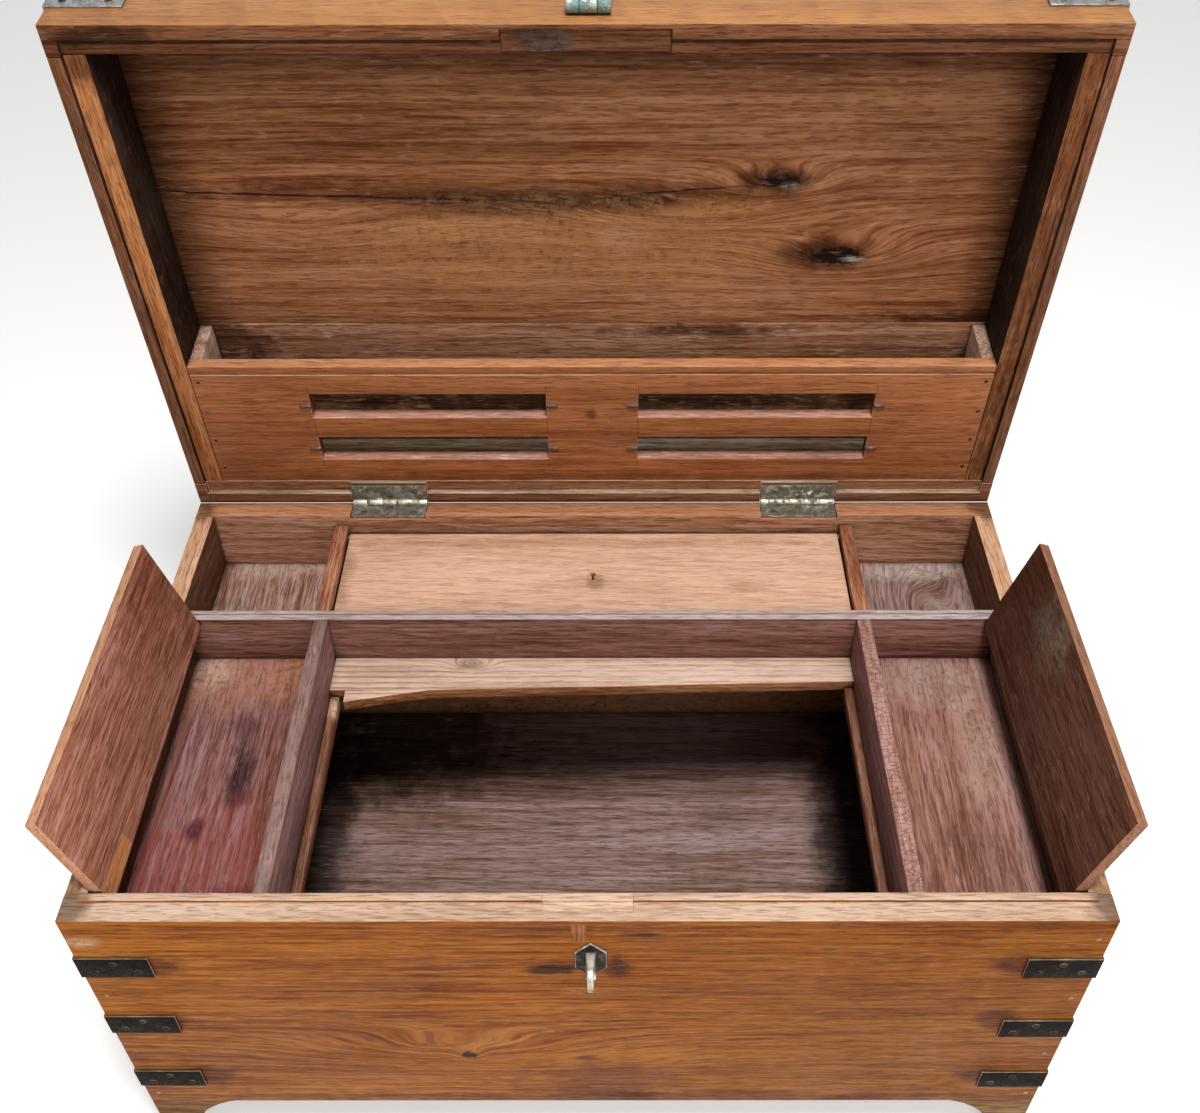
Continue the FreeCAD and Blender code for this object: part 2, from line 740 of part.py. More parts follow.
strap = new_body("hasp_strap", open_lid)
strap_y = (hasp_y - s.hasp_strap / 2, hasp_y + s.hasp_strap / 2)
blade_x = (s.hasp_offset - s.hasp_blade / 2, s.hasp_offset + s.hasp_blade / 2)
round_z = hasp_z + s.hasp_length - s.hasp_blade / 2
pad(strap, "YZ_Plane", neck_x, disc(hasp_y, hasp_z, s.hasp_knuckle))
pad(strap, "XZ_Plane", strap_y, rect(neck_x, (hasp_z, plate_low + s.hasp_gap)))
pad(strap, "XZ_Plane", strap_y, rect(blade_x, (plate_low, round_z)))
pad(strap, "XZ_Plane", strap_y, disc(s.hasp_offset, round_z, s.hasp_blade / 2))
pocket(strap, "YZ_Plane", neck_x, disc(hasp_y, hasp_z, s.hinge_pin + s.hinge_clearance))
slot_x = (s.hasp_offset - s.hasp_slot_width / 2, s.hasp_offset + s.hasp_slot_width / 2)
slot_z = 2 * hasp_z - staple_z
slot_span = (slot_z - s.hasp_slot_length / 2, slot_z + s.hasp_slot_length / 2)
pocket(strap, "XZ_Plane", strap_y, rect(slot_x, slot_span))

pin_start = Vector(hasp_x[0].number, hasp_y.number, hasp_z.number)
hasp_pin = Part.makeCylinder(s.hinge_pin.number, s.hasp_width.number, pin_start, Vector(1, 0, 0))
group("hasp_pin", [hasp_pin], open_lid)

# Staple: a six-sided plate with a loop that passes through the slot of the hasp
staple = new_body("staple_plate")
plate_face = -half_d - s.staple_plate
staple_half = s.staple_width / 2
middle_x = s.hasp_offset
staple_outline = [
    (middle_x - staple_half, staple_z - s.staple_side / 2),
    (middle_x, staple_z - s.staple_height / 2),
    (middle_x + staple_half, staple_z - s.staple_side / 2),
    (middle_x + staple_half, staple_z + s.staple_side / 2),
    (middle_x, staple_z + s.staple_height / 2),
    (middle_x - staple_half, staple_z + s.staple_side / 2),
]
pad(staple, "XZ_Plane", (plate_face, -half_d), staple_outline)

loop = new_body("staple_loop")
loop_x = (middle_x - s.loop_bar / 2, middle_x + s.loop_bar / 2)
nose_y = plate_face - s.loop_reach + s.loop_height / 2
loop_z = (staple_z - s.loop_height / 2, staple_z + s.loop_height / 2)
pad(loop, "YZ_Plane", loop_x, rect((nose_y, plate_face), loop_z))
pad(loop, "YZ_Plane", loop_x, disc(nose_y, staple_z, s.loop_height / 2))
pocket(loop, "YZ_Plane", loop_x, disc(nose_y, staple_z, s.loop_hole))

# Iron straps folded round the corners of the box and of the lid, and the nails that hold them


def corner_strap(side, end, low):
    """One strap, from its bottom edge up."""
    outer_x = (half_w + s.strap_thickness).number
    outer_y = (half_d + s.strap_thickness).number
    leg_x = (half_w - s.strap_leg).number
    leg_y = (half_d - s.strap_leg).number
    bend = [(outer_x, outer_y), (leg_x, outer_y), (leg_x, half_d.number), (half_w.number, half_d.number),
            (half_w.number, leg_y), (outer_x, leg_y)]
    points = [Vector(side * x, end * y, low.number) for x, y in bend]
    return Part.Face(Part.makePolygon(points + points[:1])).extrude(Vector(0, 0, s.strap_width.number))


def strap_nails(side, end, low):
    """Three nails in each leg of a strap, one above the other two."""
    z = (low + s.strap_width / 2).number
    jog = s.strap_width.number / 5
    shape = nail(s.strap_nail.number, s.strap_nail_rise.number, s.strap_nail_length.number)
    outer_x = side * (half_w + s.strap_thickness).number
    outer_y = end * (half_d + s.strap_thickness).number
    nails = []
    for share, shift in ((1 / 5, -jog), (1 / 2, jog), (4 / 5, -jog)):
        along = s.strap_leg.number * share
        nails += driven(shape, (0, end, 0), (side * (half_w.number - along), outer_y, z + shift))
        nails += driven(shape, (side, 0, 0), (outer_x, end * (half_d.number - along), z + shift))
    return nails


strap_lows = {
    -1: (rim - s.strap_top_left - s.strap_width, rim - s.strap_middle_left - s.strap_width,
         floor_z + s.strap_low_left),
    1: (rim - s.strap_top_right - s.strap_width, rim - s.strap_middle_right - s.strap_width,
        floor_z + s.strap_low_right),
}
box_straps = []
box_nails = []
lid_straps = []
lid_nails = []
lid_strap_low = lid_z + s.lid_strap_up
for side in (-1, 1):
    for end in (-1, 1):
        for low in strap_lows[side]:
            box_straps.append(corner_strap(side, end, low))
            box_nails += strap_nails(side, end, low)
        lid_straps.append(corner_strap(side, end, lid_strap_low))
        lid_nails += strap_nails(side, end, lid_strap_low)
group("box_straps", box_straps)
group("box_strap_nails", box_nails)
group("lid_straps", lid_straps, open_lid)
group("lid_strap_nails", lid_nails, open_lid)

# Nails through the front and back boards into the ends of the end boards, midway between the straps
carcass = nail(s.small_nail.number, s.small_nail_rise.number, s.carcass_nail_length.number)
nail_x = (half_w - s.end_thickness / 2).number
carcass_nails = []
for side in (-1, 1):
    tops = [low + s.strap_width for low in strap_lows[side]] + [floor_z]
    bottoms = [rim] + list(strap_lows[side])
    for end in (-1, 1):
        heads = [(side * nail_x, (end * half_d).number, ((top + bottom) / 2).number)
                 for top, bottom in zip(tops, bottoms)]
        carcass_nails += driven(carcass, (0, end, 0), *heads)
group("carcass_nails", carcass_nails)

# Nails through the rack board into its ends
rack_nail = nail(s.small_nail.number, s.small_nail_rise.number, s.rack_nail_length.number)
rack_nails = []
for side in (-1, 1):
    x = side * (lid_in_x - s.rack_end / 2).number
    for share in (1 / 8, 3 / 8, 5 / 8, 7 / 8):
        y = (lid_in_y - s.rack_height * share).number
        rack_nails += driven(rack_nail, (0, 0, -1), (x, y, rack_face.number))
group("rack_nails", rack_nails, open_lid)

# Drop handles on the ends: a plate with two ears, and a bail that hangs in them


def handle_plate(label, side):
    body = new_body(label)
    face = half_w + s.handle_plate
    half_y = s.handle_plate_length / 2
    plate_z = (handle_z - s.handle_plate_height / 2, handle_z + s.handle_plate_height / 2)
    pad(body, "YZ_Plane", (side * half_w, side * face), rect((-half_y, half_y), plate_z))
    holes = [disc(y, z, s.screw_shank + s.screw_clearance) for y, z in handle_screws()]
    pocket(body, "YZ_Plane", (side * half_w, side * face), *holes)
    sinks = [disc(y, z, s.screw_head + s.screw_clearance) for y, z in handle_screws()]
    pocket(body, "YZ_Plane", (side * face, side * (face - s.screw_head_height)), *sinks)
    ear_z = (handle_z - s.ear_height / 2, handle_z + s.ear_height / 2)
    for end in (-1, 1):
        middle = end * s.ear_apart / 2
        ear_y = (middle - s.ear_thickness / 2, middle + s.ear_thickness / 2)
        pad(body, "YZ_Plane", (side * face, side * (face + s.ear_reach)), rect(ear_y, ear_z))
        bore = disc(side * bail_x, handle_z, s.bail_radius + s.bail_clearance)
        pocket(body, "XZ_Plane", ear_y, bore)


def handle_screws():
    """Two pairs of screws in the plate, between the ears."""
    y = s.ear_apart / 4
    z = s.handle_plate_height / 4
    return [(end * y, handle_z + row * z) for end in (-1, 1) for row in (-1, 1)]


def bail(label, side):
    """A round bar bent to a U, its ends turned outward into the ears."""
    x = side * bail_x.number
    tip = (s.ear_apart / 2 + s.ear_thickness / 2).number
    leg = (s.ear_apart / 2 - s.ear_thickness / 2).number - s.bail_bend.number
    top = handle_z.number
    low = top - s.bail_drop.number
    bend = s.bail_bend.number
    edges = []
    bends = ((-tip, top), (-leg, top), (-leg, low), (leg, low), (leg, top), (tip, top))
    run = [Vector(x, y, z) for y, z in bends]
    start = run[0]
    for before, corner, after in zip(run, run[1:], run[2:]):
        into = (corner - before).normalize() * bend
        away = (after - corner).normalize() * bend
        centre = corner - into + away
        middle = centre + (corner - centre).normalize() * bend
        edges.append(Part.LineSegment(start, corner - into).toShape())
        edges.append(Part.Arc(corner - into, middle, corner + away).toShape())
        start = corner + away
    edges.append(Part.LineSegment(start, run[-1]).toShape())
    ring = Part.Wire(Part.makeCircle(s.bail_radius.number, run[0], Vector(0, 1, 0)))
    group(label, [Part.Wire(edges).makePipeShell([ring], True, False)])


for side, name in ((-1, "left"), (1, "right")):
    handle_plate(f"{name}_handle_plate", side)
    bail(f"{name}_handle", side)
    face_x = (side * (half_w + s.handle_plate)).number
    places = [(face_x, y.number, z.number) for y, z in handle_screws()]
    box_screws += driven(screw(), (side, 0, 0), *places)
group("box_screws", box_screws)
group("lid_screws", lid_screws, open_lid)

doc.recompute()


def check():
    """Stop if any feature failed, cut nothing, or left an empty or broken shape."""
    for feature in doc.Objects:
        if "Invalid" in feature.State or "Error" in feature.State:
            raise RuntimeError(f"{feature.Label} failed: {feature.State}")
    for feature in pockets:
        if feature.Shape.Volume >= feature.BaseFeature.Shape.Volume:
            raise RuntimeError(f"{feature.Label} cuts nothing")
    for piece in parts:
        if piece.Shape.isNull() or not piece.Shape.isValid() or not piece.Shape.Solids:
            raise RuntimeError(f"{piece.Label} has no sound shape")


check()
os.makedirs("parts", exist_ok=True)
for piece in parts:
    piece.Shape.exportStep(f"parts/{piece.Label}.step")
print(len(parts), "sub-parts written")
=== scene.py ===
import json
import math
import bpy
from mathutils import Matrix, Vector


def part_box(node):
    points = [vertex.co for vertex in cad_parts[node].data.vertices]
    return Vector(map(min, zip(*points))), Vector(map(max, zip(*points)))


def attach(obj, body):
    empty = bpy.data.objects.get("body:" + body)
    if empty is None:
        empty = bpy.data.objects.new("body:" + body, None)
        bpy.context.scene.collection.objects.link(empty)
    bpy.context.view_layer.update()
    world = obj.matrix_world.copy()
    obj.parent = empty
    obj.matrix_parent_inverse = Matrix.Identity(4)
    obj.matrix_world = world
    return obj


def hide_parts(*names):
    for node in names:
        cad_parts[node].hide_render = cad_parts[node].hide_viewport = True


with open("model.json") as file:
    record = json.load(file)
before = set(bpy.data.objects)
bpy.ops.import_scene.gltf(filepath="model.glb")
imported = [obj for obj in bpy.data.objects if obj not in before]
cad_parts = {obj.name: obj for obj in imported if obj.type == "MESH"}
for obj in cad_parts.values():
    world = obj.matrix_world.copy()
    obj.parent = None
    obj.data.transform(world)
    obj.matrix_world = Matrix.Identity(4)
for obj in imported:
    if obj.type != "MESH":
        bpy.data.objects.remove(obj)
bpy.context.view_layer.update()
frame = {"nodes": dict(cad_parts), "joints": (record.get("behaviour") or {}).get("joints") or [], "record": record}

MM = 0.001

joints = {joint["name"]: joint for joint in frame["joints"]}
body_of = {node: body for body, nodes in frame["record"]["behaviour"]["bodies"].items() for node in nodes}

# Places of the box: middle of its depth, rim, and the frame of the open lid
front_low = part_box("front_board")[0]
back_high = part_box("back_board")[1]
middle_y = (front_low.y + back_high.y) / 2
rim_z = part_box("front_rim_patch")[1].z - 2.5 * MM

UP = Vector((0, 0, 1))
FRONT = Vector((0, -1, 0))
BACK = -FRONT
LEFT = Vector((-1, 0, 0))
RIGHT = -LEFT

LID_TURN = math.radians(84)
LID_LEAN = LID_TURN - math.radians(90)
LID_UP = Vector((0, -math.cos(LID_TURN), math.sin(LID_TURN)))
LID_RIM = Vector((0, -math.sin(LID_TURN), -math.cos(LID_TURN)))
LID_AXES = (RIGHT, LID_UP, LID_RIM)
HINGE = Vector((0, joints["lid_hinge"]["pos_m"][1], joints["lid_hinge"]["pos_m"][2]))
LID_BACK = HINGE.y - back_high.y
PANEL = 68
SLOTS_TOP = 135
KNUCKLE_REACH = 5.2 * MM

# Millimetres from the middle of the box and from its rim
FRONT_FACE = -249
TILL_TOP = -9
TILL_FLOOR = -62
WELL_FLOOR = -300

TILL_TURN = math.radians(106)
BOX_AXES = (RIGHT, BACK, UP)


def lid_height(v):
    """Distance up the open lid's plane, from v millimetres off its back edge."""
    return HINGE.dot(LID_UP) + LID_BACK + v * MM


def lid_point(x, v, w):
    """Place on the open lid: x across, v up from its back edge, w in from its rim, in millimetres."""
    return HINGE + RIGHT * x * MM + LID_UP * (LID_BACK + v * MM) - LID_RIM * (w + 0.3) * MM


def lid_spot(x, v, w=PANEL):
    """The same place, in the lid's own turned frame."""
    point = lid_point(x, v, w)
    return Vector((point.x, -point.dot(LID_RIM), point.dot(LID_UP)))


def chest_point(x, y, z):
    """Place on the box: from its middle, and up from its rim, in millimetres."""
    return Vector((x * MM, middle_y + y * MM, rim_z + z * MM))


def tone(red, green, blue):
    """Linear colour from screen values of 0 to 255."""
    parts = []
    for value in (red, green, blue):
        value /= 255
        parts.append(value / 12.92 if value <= 0.04045 else ((value + 0.055) / 1.055) ** 2.4)
    return tuple(parts) + (1.0,)


def shade(colour, factor):
    """A paler or a deeper and warmer tone of a colour."""
    red, green, blue, alpha = colour
    return (min(red * factor, 1), min(green * factor ** 1.5, 1), min(blue * factor ** 2.1, 1), alpha)


WOODS = {
    "front_teak": (150, 84, 16),
    "end_teak": (150, 90, 44),
    "back_teak": (146, 88, 46),
    "plug_wood": (146, 86, 52),
    "front_rim_wood": (194, 164, 141),
    "back_rim_wood": (176, 124, 88),
    "side_rim_wood": (211, 165, 130),
    "till_wall_wood": (147, 102, 77),
    # The ends' inner walls are darkened as painted shade, where the till lids keep the light off them.
    "end_wall_shaded_wood": (92, 58, 42),
    "underside_wood": (112, 80, 60),
    "well_floor_wood": (145, 116, 106),
    "foot_wood": (129, 93, 60),
    "rim_patch_wood": (206, 176, 152),
    "cross_divider_top_wood": (177, 159, 155),
    "cross_divider_wood": (126, 85, 73),
    "left_divider_top_wood": (136, 109, 103),
    "right_divider_top_wood": (168, 128, 118),
    "side_divider_wood": (149, 108, 102),
    "rear_divider_wood": (158, 104, 76),
    "left_till_floor_wood": (134, 92, 86),
    "right_till_floor_wood": (147, 105, 92),
    "back_till_floor_wood": (157, 121, 108),
    "rear_rail_wood": (198, 169, 149),
    "rail_edge_wood": (150, 98, 62),
    "runner_wood": (128, 86, 66),
    "centre_till_lid_wood": (203, 164, 137),
    "left_till_lid_wood": (157, 104, 84),
    # The right till lid's face is darker than the left's as painted shade: it faces away from the light.
    "right_till_lid_wood": (89, 55, 42),
    "left_till_lid_edge_wood": (192, 142, 110),
    "right_till_lid_edge_wood": (146, 104, 80),
    "lid_top_wood": (158, 100, 54),
    "lid_panel_wood": (154, 100, 64),
    "lid_rear_plank_wood": (137, 95, 69),
    "lid_rim_wood": (117, 73, 46),
    "lid_side_rim_wood": (112, 70, 46),
    "lid_band_wood": (160, 100, 58),
    "lid_front_face_wood": (154, 100, 45),
    "lid_inner_wall_wood": (87, 51, 33),
    # The lid's inner side walls are darkened partly for grime and partly as painted shade, deep in the open lid.
    "lid_inner_side_grime_and_shade_wood": (38, 19, 12),
    "lid_ledge_wood": (150, 134, 112),
    "lid_end_wood": (146, 92, 56),
    "rack_wood": (152, 93, 57),
    "rack_top_wood": (180, 122, 84),
    "slot_sill_wood": (172, 128, 110),
    "rack_end_wood": (160, 128, 106),
    "worn_edge_wood": (206, 174, 150),
    "worn_lid_edge_wood": (176, 138, 112),
}


class Finish:
    """Node material of one surface."""

    def __init__(self, name, lean=0.0):
        self.material = bpy.data.materials.new(name)
        self.material.use_nodes = True
        self.tree = self.material.node_tree
        self.shader = self.tree.nodes["Principled BSDF"]
        self.place = self.node("ShaderNodeTexCoord").outputs["Object"]
        if lean:
            turn = self.node("ShaderNodeMapping")
            turn.inputs["Rotation"].default_value = (lean, 0, 0)
            self.feed(turn.inputs["Vector"], self.place)
            self.place = turn.outputs[0]

    def node(self, kind, **settings):
        node = self.tree.nodes.new(kind)
        for name, value in settings.items():
            setattr(node, name, value)
        return node

    def feed(self, socket, value):
        if isinstance(value, bpy.types.NodeSocket):
            self.tree.links.new(value, socket)
        else:
            socket.default_value = value

    def math(self, operation, *values, clamp=False):
        node = self.node("ShaderNodeMath", operation=operation, use_clamp=clamp)
        for socket, value in zip(node.inputs, values):
            self.feed(socket, value)
        return node.outputs[0]

    def vector(self, operation, *values):
        node = self.node("ShaderNodeVectorMath", operation=operation)
        for socket, value in zip(node.inputs, values):
            self.feed(socket, value)
        return node.outputs["Value" if operation in ("LENGTH", "DOT_PRODUCT") else "Vector"]

    def total(self, *values):
        result = values[0]
        for value in values[1:]:
            result = self.math("ADD", result, value)
        return result

    def times(self, *values):
        result = values[0]
        for value in values[1:]:
            result = self.math("MULTIPLY", result, value)
        return result

    def swing(self, value, amount):
        """The value's swing about its middle, made larger or smaller."""
        return self.math("MULTIPLY_ADD", value, amount, -0.5 * amount)

    def along(self, direction):
        """Distance along a direction."""
        return self.vector("DOT_PRODUCT", self.place, direction)

    def bent(self, direction, amount):
        """The place, pushed along a direction."""
        push = self.node("ShaderNodeVectorMath", operation="SCALE")
        push.inputs[0].default_value = direction
        self.feed(push.inputs["Scale"], amount)
        return self.vector("ADD", self.place, push.outputs[0])

    def stretched(self, scale, shift=0.0, place=None):
        """The place, scaled along each axis and shifted."""
        return self.vector("MULTIPLY_ADD", place or self.place, scale, (shift, shift * 0.7, shift * 1.3))

    def noise(self, place, scale=1.0, detail=4.0, roughness=0.5, warp=0.0):
        node = self.node("ShaderNodeTexNoise")
        self.feed(node.inputs["Vector"], place)
        node.inputs["Scale"].default_value = scale
        node.inputs["Detail"].default_value = detail
        node.inputs["Roughness"].default_value = roughness
        node.inputs["Distortion"].default_value = warp
        return node.outputs["Fac"]

    def cells(self, place, scale=1.0):
        """Distance to the nearest border of many small cells."""
        node = self.node("ShaderNodeTexVoronoi", feature="DISTANCE_TO_EDGE")
        self.feed(node.inputs["Vector"], place)
        node.inputs["Scale"].default_value = scale
        return node.outputs["Distance"]

    def spread(self, value, low, high, first=0.0, last=1.0, smooth=True):
        """The value carried from one range into another."""
        node = self.node("ShaderNodeMapRange", interpolation_type="SMOOTHSTEP" if smooth else "LINEAR")
        for socket, item in zip(node.inputs, (value, low, high, first, last)):
            self.feed(socket, item)
        return node.outputs[0]

    def ramp(self, value, *stops):
        node = self.node("ShaderNodeValToRGB")
        band = node.color_ramp
        while len(band.elements) < len(stops):
            band.elements.new(0.5)
        for element, (position, colour) in zip(band.elements, stops):
            element.position = position
            element.color = colour
        self.feed(node.inputs["Fac"], value)
        return node.outputs["Color"]

    def mix(self, amount, first, second, blend="MIX"):
        node = self.node("ShaderNodeMix", data_type="RGBA", blend_type=blend)
        self.feed(node.inputs["Factor"], amount)
        self.feed(node.inputs[6], first)
        self.feed(node.inputs[7], second)
        return node.outputs[2]

    def blot(self, centre, reach, ragged=None):
        """A soft-edged spot about a place."""
        off = self.vector("DIVIDE", self.vector("SUBTRACT", self.place, centre), reach)
        far = self.vector("LENGTH", off)
        if ragged:
            far = self.total(far, self.swing(ragged, 1.6))
        return self.spread(far, 1.05, 0.3)

    def block(self, centre, half):
        """A sharp-edged block about a place."""
        off = self.vector("DIVIDE", self.vector("SUBTRACT", self.place, centre), half)
        parts = self.node("ShaderNodeSeparateXYZ")
        self.feed(parts.inputs[0], self.vector("ABSOLUTE", off))
        far = self.math("MAXIMUM", parts.outputs[0], parts.outputs[1])
        far = self.math("MAXIMUM", far, parts.outputs[2])
        return self.spread(far, 1.01, 0.99)

    def hollow(self, reach, inside=False):
        """How closed in the surface is, or with inside, how near to an outer edge."""
        node = self.node("ShaderNodeAmbientOcclusion", samples=6, inside=inside)
        node.inputs["Distance"].default_value = reach
        return self.math("SUBTRACT", 1.0, node.outputs["AO"])

    def bump(self, height, distance, strength=0.7):
        node = self.node("ShaderNodeBump")
        node.inputs["Distance"].default_value = distance
        node.inputs["Strength"].default_value = strength
        self.feed(node.inputs["Height"], height)
        self.feed(self.shader.inputs["Normal"], node.outputs["Normal"])

    def done(self, colour, roughness, metallic=0.0, gloss=0.5):
        self.feed(self.shader.inputs["Base Color"], colour)
        self.feed(self.shader.inputs["Roughness"], roughness)
        self.feed(self.shader.inputs["Metallic"], metallic)
        self.shader.inputs["Specular IOR Level"].default_value = gloss
        return self.material


GREY_DIRT = tone(74, 60, 50)
# Dark grime colour, also used for painted shade in corners and grooves and along the lid's rebate step
DARK_GRIME_AND_SHADE = tone(30, 19, 13)
PALE_DUST = tone(214, 190, 170)
SOOT = (0.3, 0.26, 0.24, 1)
BROWN_STAIN = (0.45, 0.36, 0.3, 1)

# Reach of the corner and groove darkening, partly grime and partly painted shade, and of the wear, and depth of
# the grain, in metres
CORNER_GRIME_AND_SHADE = 0.016
GROOVE_GRIME_AND_SHADE = 0.004
WORN_EDGE = 0.0035
GRAIN_DEPTH = 0.0007


def knot_field(f, u, v, knots, crumb):
    """Bend of the rings round the knots, and the dark of their hearts."""
    lift, heart = 0.0, 0.0
    for at_u, at_v, long, wide, height, core in knots:
        across_u = f.math("DIVIDE", f.math("SUBTRACT", u, at_u), long)
        across_v = f.math("DIVIDE", f.math("SUBTRACT", v, at_v), wide)
        far = f.total(f.times(across_u, across_u), f.times(across_v, across_v))
        near = f.math("EXPONENT", f.times(far, -1.0))
        lift = f.total(lift, f.times(near, height))
        rough = f.total(far, f.swing(crumb, core * 4))
        heart = f.math("MAXIMUM", heart, f.spread(rough, core, core * 0.2))
    return lift, heart


def crack_field(f, u, v, cracks):
    """Dark lines along the grain."""
    line = 0.0
    for start, end, at_v, slope, wobble, width in cracks:
        sway = f.noise(f.stretched((14, 14, 14), at_v * 40), detail=4)
        centre = f.total(at_v, f.times(f.math("SUBTRACT", u, start), slope), f.swing(sway, wobble))
        off = f.math("ABSOLUTE", f.math("SUBTRACT", v, centre))
        inside = f.times(f.spread(u, start, start + 0.02), f.spread(u, end, end - 0.06))
        wide = f.times(f.spread(sway, 0.3, 0.6, 0.4, 1.0), width)
        line = f.math("MAXIMUM", line, f.times(f.spread(f.math("DIVIDE", off, wide), 1.0, 0.3), inside))
    return line


def soiled_and_shaded(f, colour, ragged, stains, smoke, patches):
    """The colour under ragged marks, soft smoky marks and sharp patches, some of which are painted shade."""
    for centre, reach, darkening in stains:
        colour = f.mix(f.blot(centre, reach, ragged), colour, darkening, "MULTIPLY")
    for centre, reach, darkening in smoke:
        colour = f.mix(f.blot(centre, reach), colour, darkening, "MULTIPLY")
    for centre, half, paint_over, amount in patches:
        colour = f.mix(f.times(f.block(centre, half), amount), colour, paint_over)
    return colour


def grimed_and_shaded(f, colour, crumb, crevice):
    """The colour darkened in its corners and grooves: partly grime, partly painted shade where they lie in shade.
    """
    corner = f.spread(f.hollow(CORNER_GRIME_AND_SHADE), 0.3, 0.95)
    colour = f.mix(f.times(corner, crevice), colour, DARK_GRIME_AND_SHADE)
    groove = f.spread(f.hollow(GROOVE_GRIME_AND_SHADE), 0.25, 0.65)
    return f.mix(f.times(groove, crevice, f.spread(crumb, 0.2, 0.5)), colour, DARK_GRIME_AND_SHADE)


def wood(name, grain, across, light=1.36, deep=0.46, bands=1.0, lines=1.0, rings=60.0, figure=0.12,
         veins=0.12, wander=0.9, clouds=0.7, pores=0.45, flecks=0.2, dirt=0.2, crevice=0.6, wear=0.2,
         checks=0.0, rough=(0.5, 0.75), gloss=0.08, relief=1.0, knots=(), cracks=(), stains=(), smoke=(),
         dusts=(), patches=(), lean=0.0):
    """Old open-grained wood, its grain along one axis, with streaks, pores, dirt, worn edges, and painted shade in
    its corners and grooves.
    """
    f = Finish(name, lean)
    ground = tone(*WOODS[name])
    pale = tuple(0.6 * own + 0.4 * dust for own, dust in zip(shade(ground, 1.6), PALE_DUST))
    axis = "XYZ".index(grain)

    def scales(long, wide):
        return tuple(long if i == axis else wide for i in range(3))

    u = f.along(scales(1.0, 0.0))
    v = f.along(across)
    ragged = f.noise(f.stretched((38, 38, 38)), detail=5, roughness=0.6)
    warp = f.noise(f.stretched(scales(1.6, 6.0)), detail=3)
    crumb = f.noise(f.stretched((170, 170, 170)), detail=5, roughness=0.7)
    lift, heart = knot_field(f, u, v, knots, crumb)
    bend = f.total(f.swing(warp, wander * 2), lift)
    fibre = f.bent(across, f.times(bend, 1 / rings))
    band = f.noise(f.stretched(scales(1.3, 30.0), place=fibre), detail=3, roughness=0.55)
    line = f.noise(f.stretched(scales(11.0, 340.0), 3, fibre), detail=4, roughness=0.72)
    cloud = f.noise(f.stretched(scales(2.4, 8.0), 5), detail=4)
    turn = f.math("FRACT", f.total(f.times(v, rings), bend))
    ring = f.times(f.spread(turn, 0.2, 0.9), f.spread(turn, 1.0, 0.9))
    value = f.total(0.5, f.swing(band, bands * 0.9), f.swing(line, lines * 1.2), f.swing(cloud, clouds),
                    f.swing(ring, figure))
    colour = f.ramp(value, (0.18, shade(ground, light)), (0.47, ground), (0.86, shade(ground, deep)))
    thin_ring = f.times(f.spread(turn, 0.86, 0.95), f.spread(turn, 1.0, 0.95))
    vein = f.times(thin_ring, f.spread(ragged, 0.4, 0.62), veins)
    colour = f.mix(vein, colour, shade(ground, 1.7))
    pore = f.spread(f.noise(f.stretched(scales(55.0, 640.0), place=fibre), detail=2), 0.54, 0.64)
    colour = f.mix(f.times(pore, pores), colour, shade(ground, 0.34))
    mark = f.math("MAXIMUM", heart, crack_field(f, u, v, cracks), clamp=True)
    if checks:
        split = f.spread(f.cells(f.stretched(scales(210, 75))), 0.08, 0.0)
        mark = f.math("MAXIMUM", mark, f.times(split, checks))
    colour = f.mix(f.times(mark, 0.92), colour, DARK_GRIME_AND_SHADE)
    stain = f.spread(f.noise(f.stretched((11, 11, 11), 2), detail=7, roughness=0.7), 0.48, 0.72)
    colour = f.mix(f.times(stain, dirt), colour, GREY_DIRT)
    colour = soiled_and_shaded(f, colour, ragged, stains, smoke, patches)
    fleck = f.spread(f.noise(f.stretched(scales(60.0, 480.0), 9, fibre), detail=3), 0.56, 0.68)
    powder = f.spread(ragged, 0.38, 0.66)
    colour = f.mix(f.times(fleck, powder, flecks), colour, pale)
    for centre, reach, grey, amount in dusts:
        grit = f.times(f.spread(line, 0.3, 0.62), f.spread(crumb, 0.3, 0.56))
        colour = f.mix(f.times(f.blot(centre, reach, ragged), grit, amount), colour, grey)
    colour = grimed_and_shaded(f, colour, crumb, crevice)
    edge = f.spread(f.hollow(WORN_EDGE, inside=True), 0.22, 0.62)
    colour = f.mix(f.times(edge, f.spread(cloud, 0.35, 0.6), wear), colour, shade(ground, 1.5))
    dull = f.total(f.spread(line, 0.3, 0.7, rough[0], rough[1], smooth=False), f.times(stain, 0.12))
    height = f.total(f.times(line, 0.6), f.times(pore, -0.7), f.times(fleck, 0.5), f.times(mark, -1.8))
    f.bump(height, GRAIN_DEPTH * relief)
    return f.done(colour, dull, gloss=gloss)


def outside_teak(name, grain, **extra):
    settings = dict(across=(0.25, 0.1, 1.0) if grain == "X" else (0.1, 0.25, 1.0), rings=85, wander=0.8,
                    lines=1.5, deep=0.44, flecks=0.2, pores=0.5, dirt=0.14, wear=0.3, rough=(0.4, 0.62))
    settings.update(extra)
    return wood(name, grain, **settings)


